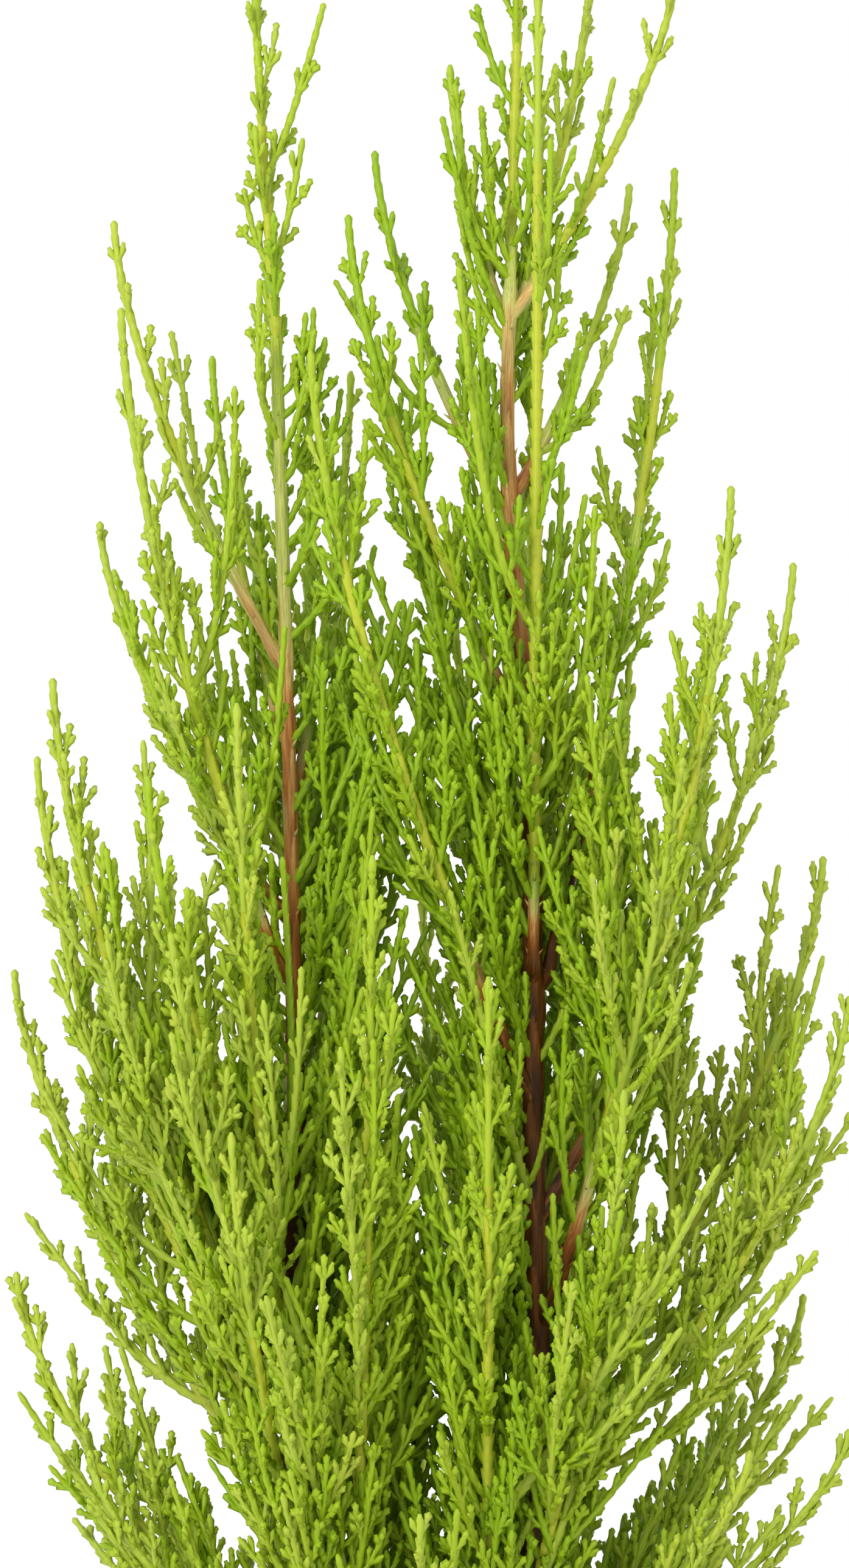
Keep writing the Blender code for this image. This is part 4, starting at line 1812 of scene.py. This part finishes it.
def filleted(corners: Sequence[Triple], arc_steps: int, step: float) -> Array:
    """An open outline with its corners rounded and its straight runs cut into even steps.

    Args:
        corners: radius, height and corner radius of each corner, in order.
        arc_steps: how many steps each rounded corner takes.
        step: the longest step along a straight run.

    Returns:
        Rows of radius and height.
    """
    places = np.array([corner[:2] for corner in corners])
    pieces = [places[:1]]
    for k in range(1, len(corners) - 1):
        before, after = unit(places[k - 1] - places[k]), unit(places[k + 1] - places[k])
        half = 0.5 * math.acos(float(np.clip(before @ after, -1.0, 1.0)))
        cut = corners[k][2] / math.tan(half)
        middle = places[k] + unit(before + after) * corners[k][2] / math.sin(half)
        start, end = places[k] + before * cut - middle, places[k] + after * cut - middle
        share = np.linspace(0.0, 1.0, arc_steps + 1)[:, None]
        chord = start * (1.0 - share) + end * share
        pieces.append(middle + unit(chord) * corners[k][2])
    pieces.append(places[-1:])
    outline = np.concatenate(pieces)
    rows = [outline[:1]]
    for low, high in zip(outline[:-1], outline[1:]):
        count = max(1, math.ceil(float(np.linalg.norm(high - low)) / step))
        rows.append(low + (high - low) * (np.arange(1, count + 1) / count)[:, None])
    return np.concatenate(rows)


def turned_mesh(name: str, rings: Array) -> Mesh:
    """A closed turned body whose outline starts and ends on its axis.

    Args:
        name: the mesh's name.
        rings: corner places by ring and side; the first and last rings shrink to one point each.

    Returns:
        The mesh, with faces that point outwards where the outline starts on top and ends underneath.
    """
    inner = rings[1:-1]
    count, sides = inner.shape[:2]
    top, bottom = rings[:1, :1].reshape(1, 3), rings[-1:, :1].reshape(1, 3)
    corners = np.concatenate([top, inner.reshape(-1, 3), bottom])
    ring = np.arange(count - 1)[:, None] * sides + 1
    side, after = np.arange(sides), (np.arange(sides) + 1) % sides
    quads = np.stack([ring + after, ring + side, ring + sides + side, ring + sides + after], axis=-1)
    last = 1 + (count - 1) * sides
    faces = [tuple(quad) for quad in quads.reshape(-1, 4).tolist()]
    faces += [(0, 1 + a, 1 + b) for a, b in zip(side.tolist(), after.tolist())]
    faces += [(count * sides + 1, last + b, last + a) for a, b in zip(side.tolist(), after.tolist())]
    return face_mesh(name, corners, faces)


def swept_round(outline: Array, sides: int) -> Array:
    """An outline's rows turned round the upright axis.

    Args:
        outline: rows of radius and height.
        sides: how many places each row becomes.

    Returns:
        The places by ring and side.
    """
    angles = np.linspace(0.0, math.tau, sides, endpoint=False)
    radius, height = outline[:, :1], outline[:, 1:2]
    return np.stack([radius * np.cos(angles), radius * np.sin(angles), height + 0.0 * angles], axis=-1)


@dataclass(frozen=True)
class ClayFinish:
    """Unglazed fired clay: warm, dusty and matt, with pale bloom and fine turning lines."""

    deep: Triple = (0.640, 0.340, 0.215)
    warm: Triple = (0.790, 0.480, 0.330)
    bloom: Triple = (0.870, 0.720, 0.620)
    roughness: float = 0.86
    specular: float = 0.25
    turning_grain: Triple = (14.0, 14.0, 620.0)
    bloom_grain: Triple = (22.0, 22.0, 34.0)
    bloom_above: float = 0.54
    relief: Pair = (0.55, 0.25 * MM)

    def make(self, name: str) -> Material:
        """Makes the material.

        Args:
            name: the material's name.

        Returns:
            The material.
        """
        tree = FinishTree(name, self.roughness, self.specular)
        place = tree.place()
        cloud = tree.noise(place, 38.0, 5.0, 0.62)
        grain = tree.noise(place, 1500.0, 2.0)
        turning = tree.noise(tree.vector("MULTIPLY", place, self.turning_grain), 1.0, 3.0)
        salts = tree.noise(tree.vector("MULTIPLY", place, self.bloom_grain), 1.0, 7.0, 0.7)
        tone = tree.math("MULTIPLY_ADD", turning, 0.45, tree.math("MULTIPLY", cloud, 0.75))
        warm = tree.between(tree.math("MULTIPLY_ADD", tone, 2.2, -0.85), self.deep, self.warm)
        dust = tree.math("MULTIPLY", tree.math("SUBTRACT", salts, self.bloom_above), 2.2)
        height = tree.math("MULTIPLY_ADD", turning, 0.7, tree.math("MULTIPLY", grain, 0.5))
        return tree.dress(tree.between(dust, warm, self.bloom), height, *self.relief)


@dataclass
class Pot:
    """The plain clay pot: a tapered wall, a collar rim and three drain holes."""

    height: float = 122 * MM
    foot_radius: float = 47 * MM
    body_top_radius: float = 62 * MM
    rim_radius: float = 68 * MM
    rim_drop: float = 27 * MM
    wall: float = 5 * MM
    floor: float = 7 * MM
    edge: float = 1.6 * MM
    sides: int = 168
    step: float = 1.1 * MM
    ridge_pitch: float = 4.2 * MM
    ridge_height: float = 0.09 * MM
    waver: float = 0.22 * MM
    drain_radius: float = 4.5 * MM
    drain_circle: float = 24 * MM
    drains: int = 3
    drain_sides: int = 40
    waver_scale: float = 26.0
    sharp_angle: float = 50
    finish: ClayFinish = ClayFinish()

    def outline(self) -> Array:
        """The outline: from the middle of the floor, up the inside and down the outside, to the middle.

        Returns:
            Rows of radius and height.
        """
        collar = self.height - self.rim_drop
        edge, near = self.edge, 0.98 * self.edge
        corners = (
            (0.0, self.floor, 0.0),
            (self.foot_radius - self.wall, self.floor, 2 * edge),
            (self.body_top_radius - self.wall, collar, 4 * edge),
            (self.rim_radius - self.wall, self.height, near),
            (self.rim_radius, self.height, near),
            (self.rim_radius - edge, collar, 0.8 * edge),
            (self.body_top_radius, collar - 0.6 * edge, edge),
            (self.foot_radius, 0.0, near),
            (0.0, 0.0, 0.0),
        )
        return filleted(corners, 6, self.step)

    def mesh(self) -> Mesh:
        """The turned wall with its faint ridges and the slight waver of hand turning.

        Returns:
            The closed mesh, without its drain holes.
        """
        outline = self.outline()
        rings = swept_round(outline, self.sides)
        radius = outline[:, :1]
        outside = ease((radius - 0.86 * self.foot_radius) / (0.1 * self.foot_radius))
        clear_of_foot = ease((outline[:, 1:2] - 2 * self.edge) / (2 * self.edge))
        angles = np.linspace(0.0, math.tau, self.sides, endpoint=False)
        drift = 0.5 * np.sin(angles + 1.0) + 0.25 * np.sin(2 * angles)
        ridges = np.sin(math.tau * outline[:, 1:2] / self.ridge_pitch + drift) * self.ridge_height
        wave = np.zeros(rings.shape[:2])
        for place in np.ndindex(wave.shape):
            wave[place] = noise.noise(Vector(rings[place]) * self.waver_scale) * self.waver
        half = 0.5 * self.waver
        push = (ridges - self.ridge_height + np.minimum(wave, half) - half) * outside * clear_of_foot
        rings[:, :, :2] *= (1.0 + push / np.maximum(radius, self.edge))[:, :, None]
        return turned_mesh("pot_clay", rings)

    def drilled(self, mesh: Mesh) -> Mesh:
        """The pot with its drain holes cut through the floor.

        Args:
            mesh: the whole pot; a new mesh takes its place.

        Returns:
            The drilled pot, with its rim and foot edges smooth and the holes' edges sharp.
        """
        body = link_object("pot_body", mesh)
        cutters = []
        for k in range(self.drains):
            azimuth = math.tau * (k + 0.25) / self.drains
            x, y = self.drain_circle * math.cos(azimuth), self.drain_circle * math.sin(azimuth)
            bpy.ops.mesh.primitive_cylinder_add(
                vertices=self.drain_sides,
                radius=self.drain_radius,
                depth=3 * self.floor,
                location=(x, y, 0.5 * self.floor),
            )
            cutters.append(bpy.context.object)
            hole = body.modifiers.new(f"Drain {k + 1}", "BOOLEAN")
            hole.operation = "DIFFERENCE"
            hole.object = cutters[-1]
        evaluated = body.evaluated_get(bpy.context.evaluated_depsgraph_get())
        drilled = bpy.data.meshes.new_from_object(evaluated)
        for obj in [body, *cutters]:
            bpy.data.objects.remove(obj)
        drilled.set_sharp_from_angle(angle=math.radians(self.sharp_angle))
        return drilled

    def inner_radius(self, z: float) -> float:
        """The radius of the inside at a height.

        Args:
            z: the height.

        Returns:
            The radius.
        """
        collar = self.height - self.rim_drop
        if z < collar:
            heights, radii = (self.floor, collar), (self.foot_radius, self.body_top_radius)
        else:
            heights = (collar, self.height - self.edge)
            radii = (self.body_top_radius, self.rim_radius - self.edge)
        return float(np.interp(z, heights, radii)) - self.wall

    def build(self) -> None:
        """Builds the pot and seats it on the frame."""
        mesh = self.drilled(self.mesh())
        mesh.materials.clear()
        mesh.materials.append(self.finish.make("clay"))
        seat_piece(link_object("pot_clay", mesh), ["pot"])


@dataclass(frozen=True)
class EarthFinish:
    """One of the loose materials in potting soil: a dull colour that varies from bit to bit."""

    dark: Triple
    light: Triple
    roughness: float = 0.92
    pattern_scale: float = 260.0
    specular: float = 0.2
    grain_scale: float = 2400.0
    contrast: Pair = (2.4, -0.7)
    relief: Pair = (0.8, 0.3 * MM)

    def make(self, name: str) -> Material:
        """Makes the material.

        Args:
            name: the material's name.

        Returns:
            The material.
        """
        tree = FinishTree(name, self.roughness, self.specular)
        place = tree.place()
        broad = tree.noise(place, self.pattern_scale, 4.0)
        fine = tree.noise(place, self.grain_scale, 2.0)
        share = tree.math("MULTIPLY_ADD", broad, *self.contrast)
        return tree.dress(tree.between(share, self.dark, self.light), fine, *self.relief)


@dataclass(frozen=True)
class SoilBits:
    """One kind of loose bit that lies on the soil."""

    name: str
    density: float
    size: Pair
    flatness: Triple
    roughening: float
    subdivisions: int
    finish: EarthFinish


SOIL_BITS = (
    SoilBits(
        "soil_crumbs", 420_000.0, (0.7 * MM, 2.3 * MM), (1.0, 0.85, 0.7), 0.50, 1,
        EarthFinish((0.150, 0.100, 0.070), (0.330, 0.235, 0.165)),
    ),
    SoilBits(
        "soil_fibres", 60_000.0, (1.6 * MM, 4.2 * MM), (1.0, 0.22, 0.12), 0.35, 2,
        EarthFinish((0.300, 0.190, 0.110), (0.560, 0.390, 0.240)),
    ),
    SoilBits(
        "soil_bark_chips", 9_000.0, (2.6 * MM, 5.2 * MM), (1.0, 0.6, 0.26), 0.40, 2,
        EarthFinish((0.240, 0.135, 0.080), (0.500, 0.320, 0.200)),
    ),
    SoilBits(
        "soil_perlite", 11_000.0, (0.8 * MM, 1.9 * MM), (1.0, 0.9, 0.8), 0.30, 2,
        EarthFinish((0.760, 0.745, 0.700), (0.930, 0.920, 0.890), 0.8),
    ),
)


def scattered_bits_tree() -> GeometryTree:
    """The tree that scatters rough little lumps over a surface and makes them real.

    Returns:
        The tree, with the lumps' density, sizes, shape and roughness as inputs.
    """
    tree = GeometryTree(
        "Scattered bits",
        {
            "Density": ("NodeSocketFloat", 1000.0),
            "Smallest": ("NodeSocketFloat", 1 * MM),
            "Largest": ("NodeSocketFloat", 2 * MM),
            "Shape": ("NodeSocketVector", (1.0, 1.0, 1.0)),
            "Roughening": ("NodeSocketFloat", 0.4),
            "Subdivisions": ("NodeSocketInt", 2),
            "Seed": ("NodeSocketInt", 1),
        },
    )
    given = tree.given
    surface, density, seed = given["Geometry"], given["Density"], given["Seed"]
    points = tree.add("GeometryNodeDistributePointsOnFaces", Mesh=surface, Density=density, Seed=seed)
    lump = tree.add("GeometryNodeMeshIcoSphere", Radius=0.5, Subdivisions=given["Subdivisions"])
    place = tree.add("GeometryNodeInputPosition").outputs[0]
    rough = tree.add("ShaderNodeTexNoise", Vector=place, Scale=1.9, Detail=2.0).outputs[1]
    centred = tree.vector("SUBTRACT", rough, (0.5, 0.5, 0.5))
    push = tree.vector("SCALE", centred, scale=given["Roughening"])
    rugged = tree.add("GeometryNodeSetPosition", Geometry=lump.outputs[0], Offset=push)
    shaped = tree.add("GeometryNodeTransform", Geometry=rugged.outputs[0], Scale=given["Shape"])
    size = tree.add("FunctionNodeRandomValue", {"data_type": "FLOAT"}, Min=0.0, Max=1.0, Seed=seed)
    drawn = next(socket for socket in size.outputs if socket.enabled)
    skewed = tree.math("POWER", drawn, 2.0)
    reach = tree.math("SUBTRACT", given["Largest"], given["Smallest"])
    scale = tree.math("MULTIPLY_ADD", skewed, reach, given["Smallest"])
    low, high = (-0.5, -0.5, 0.0), (0.5, 0.5, math.tau)
    turn = tree.add("FunctionNodeRandomValue", {"data_type": "FLOAT_VECTOR"}, i0=low, i1=high)
    laid = tree.add(
        "GeometryNodeInstanceOnPoints", Points=points.outputs[0], Instance=shaped.outputs[0], Scale=scale
    )
    turned = tree.add("GeometryNodeRotateInstances", Instances=laid.outputs[0], Rotation=turn.outputs[0])
    tree.close(turned.outputs[0], smooth=False)
    return tree


@dataclass
class Soil:
    """The soil in the pot: a low uneven mound with crumbs, fibres, bark chips and perlite on it."""

    pot: Pot
    top: float = 110 * MM
    mound: float = 3.5 * MM
    seat_radius: float = 11 * MM
    gap: float = 0.4 * MM
    rings: int = 46
    sides: int = 150
    lower_rings: int = 12
    unevenness: float = 1.5 * MM
    lump_scale: float = 95.0
    lumps: tuple[float, float, int] = (0.9, 2.1, 4)
    proud: float = 0.25 * MM
    inset: float = 1.8 * MM
    flat_enough: float = 0.2
    bits: tuple[SoilBits, ...] = SOIL_BITS
    finish: EarthFinish = EarthFinish((0.115, 0.078, 0.055), (0.260, 0.180, 0.125), 0.95, 180.0)

    def mesh(self) -> Mesh:
        """The closed body of soil.

        Returns:
            The mesh, level round the plant's foot and uneven further out.
        """
        edge_z = self.top - self.mound
        edge = self.pot.inner_radius(edge_z) - self.gap
        share = np.linspace(0.0, 1.0, self.rings)
        radius = edge * share
        height = self.top - self.mound * ease((radius - self.seat_radius) / (edge - self.seat_radius))
        collar, bottom = self.pot.height - self.pot.rim_drop, self.pot.floor + self.gap
        heights = np.linspace(collar, bottom, self.lower_rings)
        lower = np.array([(self.pot.inner_radius(z) - self.gap, z) for z in heights] + [(0.0, bottom)])
        outline = np.concatenate([np.column_stack([radius, height]), lower])
        rings = swept_round(outline, self.sides)
        for k in range(self.rings):
            loose = float(ease((radius[k] - self.seat_radius) / self.seat_radius))
            for j in range(self.sides):
                bumpy = noise.fractal(Vector(rings[k, j]) * self.lump_scale, *self.lumps)
                rings[k, j, 2] += (bumpy * self.unevenness - 0.3 * self.unevenness) * loose
        return turned_mesh("soil_bed", rings)

    def top_only(self, mesh: Mesh) -> Mesh:
        """The upper skin of the soil, a little proud of it and clear of the pot, for bits to lie on.

        Args:
            mesh: the body of soil.

        Returns:
            A new mesh.
        """
        lowest = self.top - 3 * self.mound
        flat = [p for p in mesh.polygons if p.normal.z > self.flat_enough and p.center.z > lowest]
        used = sorted({corner for face in flat for corner in face.vertices})
        number = {corner: k for k, corner in enumerate(used)}
        inset = 1.0 - self.inset / self.pot.inner_radius(self.top)
        places = [mesh.vertices[corner].co for corner in used]
        corners = [(place.x * inset, place.y * inset, place.z + self.proud) for place in places]
        skin = bpy.data.meshes.new("soil_skin")
        skin.from_pydata(corners, [], [tuple(number[corner] for corner in face.vertices) for face in flat])
        skin.update()
        return skin

    def build(self) -> None:
        """Builds the soil and its loose bits and seats them on the frame."""
        mesh = self.mesh()
        mesh.materials.append(self.finish.make("soil_bed"))
        seat_piece(link_object("soil_bed", mesh), ["soil"])
        tree = scattered_bits_tree()
        for number, kind in enumerate(self.bits):
            values = {
                "Density": kind.density,
                "Smallest": kind.size[0],
                "Largest": kind.size[1],
                "Shape": kind.flatness,
                "Roughening": kind.roughening,
                "Subdivisions": kind.subdivisions,
                "Seed": SEED + number,
                "Finish": kind.finish.make(kind.name),
            }
            seat_piece(tree.grow(self.top_only(mesh), kind.name, values), ["soil"])


# ---------------- studio


@dataclass
class Studio:
    """The plain pale studio: floor, soft light and the camera."""

    target: Triple = (0.9 * MM, 0.0, 335.2 * MM)
    distance: float = 1.3
    seen_height: float = 310.4 * MM
    sensor: float = 36.0
    key_place: Triple = (-0.9, -1.5, 1.35)
    key_size: float = 1.2
    key_energy: float = 24.0
    world_lit: float = 0.97
    floor_radius: float = 1.45
    floor_sides: int = 96
    floor_tone: float = 0.9

    def camera(self) -> None:
        """A level camera in front of the crown."""
        data = bpy.data.cameras.new("camera")
        data.sensor_width = self.sensor
        data.lens = self.sensor * self.distance / self.seen_height
        camera = link_object("camera", data)
        x, _, z = self.target
        camera.location = (x, -self.distance, z)
        camera.rotation_euler = (math.pi / 2, 0.0, 0.0)
        bpy.context.scene.camera = camera

    def lights(self) -> None:
        """One large soft light from the front left above."""
        data = bpy.data.lights.new("key", "AREA")
        data.shape = "DISK"
        data.size = self.key_size
        data.energy = self.key_energy
        key = link_object("key", data)
        key.location = self.key_place
        direction = Vector(np.array(self.target) - np.array(self.key_place))
        key.rotation_euler = direction.to_track_quat("-Z", "Y").to_euler()

    def world(self) -> None:
        """White to the camera and a softer white to everything else."""
        world = bpy.data.worlds.new("white")
        bpy.context.scene.world = world
        world.use_nodes = True
        tree = TreeMaker(world.node_tree)
        world.node_tree.nodes.clear()
        seen = tree.add("ShaderNodeBackground", Color=(1, 1, 1, 1), Strength=1.0)
        lit = tree.add("ShaderNodeBackground", Color=(1, 1, 1, 1), Strength=self.world_lit)
        direct = tree.add("ShaderNodeLightPath").outputs["Is Camera Ray"]
        mixed = tree.add("ShaderNodeMixShader", i0=direct, i1=lit.outputs[0], i2=seen.outputs[0])
        tree.add("ShaderNodeOutputWorld", Surface=mixed.outputs[0])
        bpy.context.scene.view_settings.view_transform = "Standard"

    def floor(self) -> None:
        """A round pale floor, just under the pot."""
        bpy.ops.mesh.primitive_circle_add(
            vertices=self.floor_sides, radius=self.floor_radius, fill_type="NGON", location=(0, 0, 0)
        )
        floor = bpy.context.object
        floor.name = "floor"
        made = bpy.data.materials.new("floor")
        made.use_nodes = True
        shader = made.node_tree.nodes["Principled BSDF"]
        shader.inputs["Base Color"].default_value = (self.floor_tone, self.floor_tone, self.floor_tone, 1)
        floor.data.materials.append(made)

    def build(self) -> None:
        """Sets up the whole studio."""
        self.camera()
        self.lights()
        self.world()
        self.floor()


def clear_defaults() -> None:
    """Removes the objects that Blender opens with."""
    for obj in list(bpy.data.objects):
        bpy.data.objects.remove(obj)


def main() -> None:
    """Builds the looks round the frame."""
    logging.basicConfig(level=logging.INFO, format="%(name)s %(message)s")
    clear_defaults()
    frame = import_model()
    skeleton = Skeleton(frame["nodes"])
    pot = Pot()
    pot.build()
    Soil(pot).build()
    crown = Crown(skeleton)
    Wood(skeleton, crown.axis_girths[-1]).build()
    crown.grow()
    crown.build()
    Studio().build()
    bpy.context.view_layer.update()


if __name__ == "__main__":
    main()
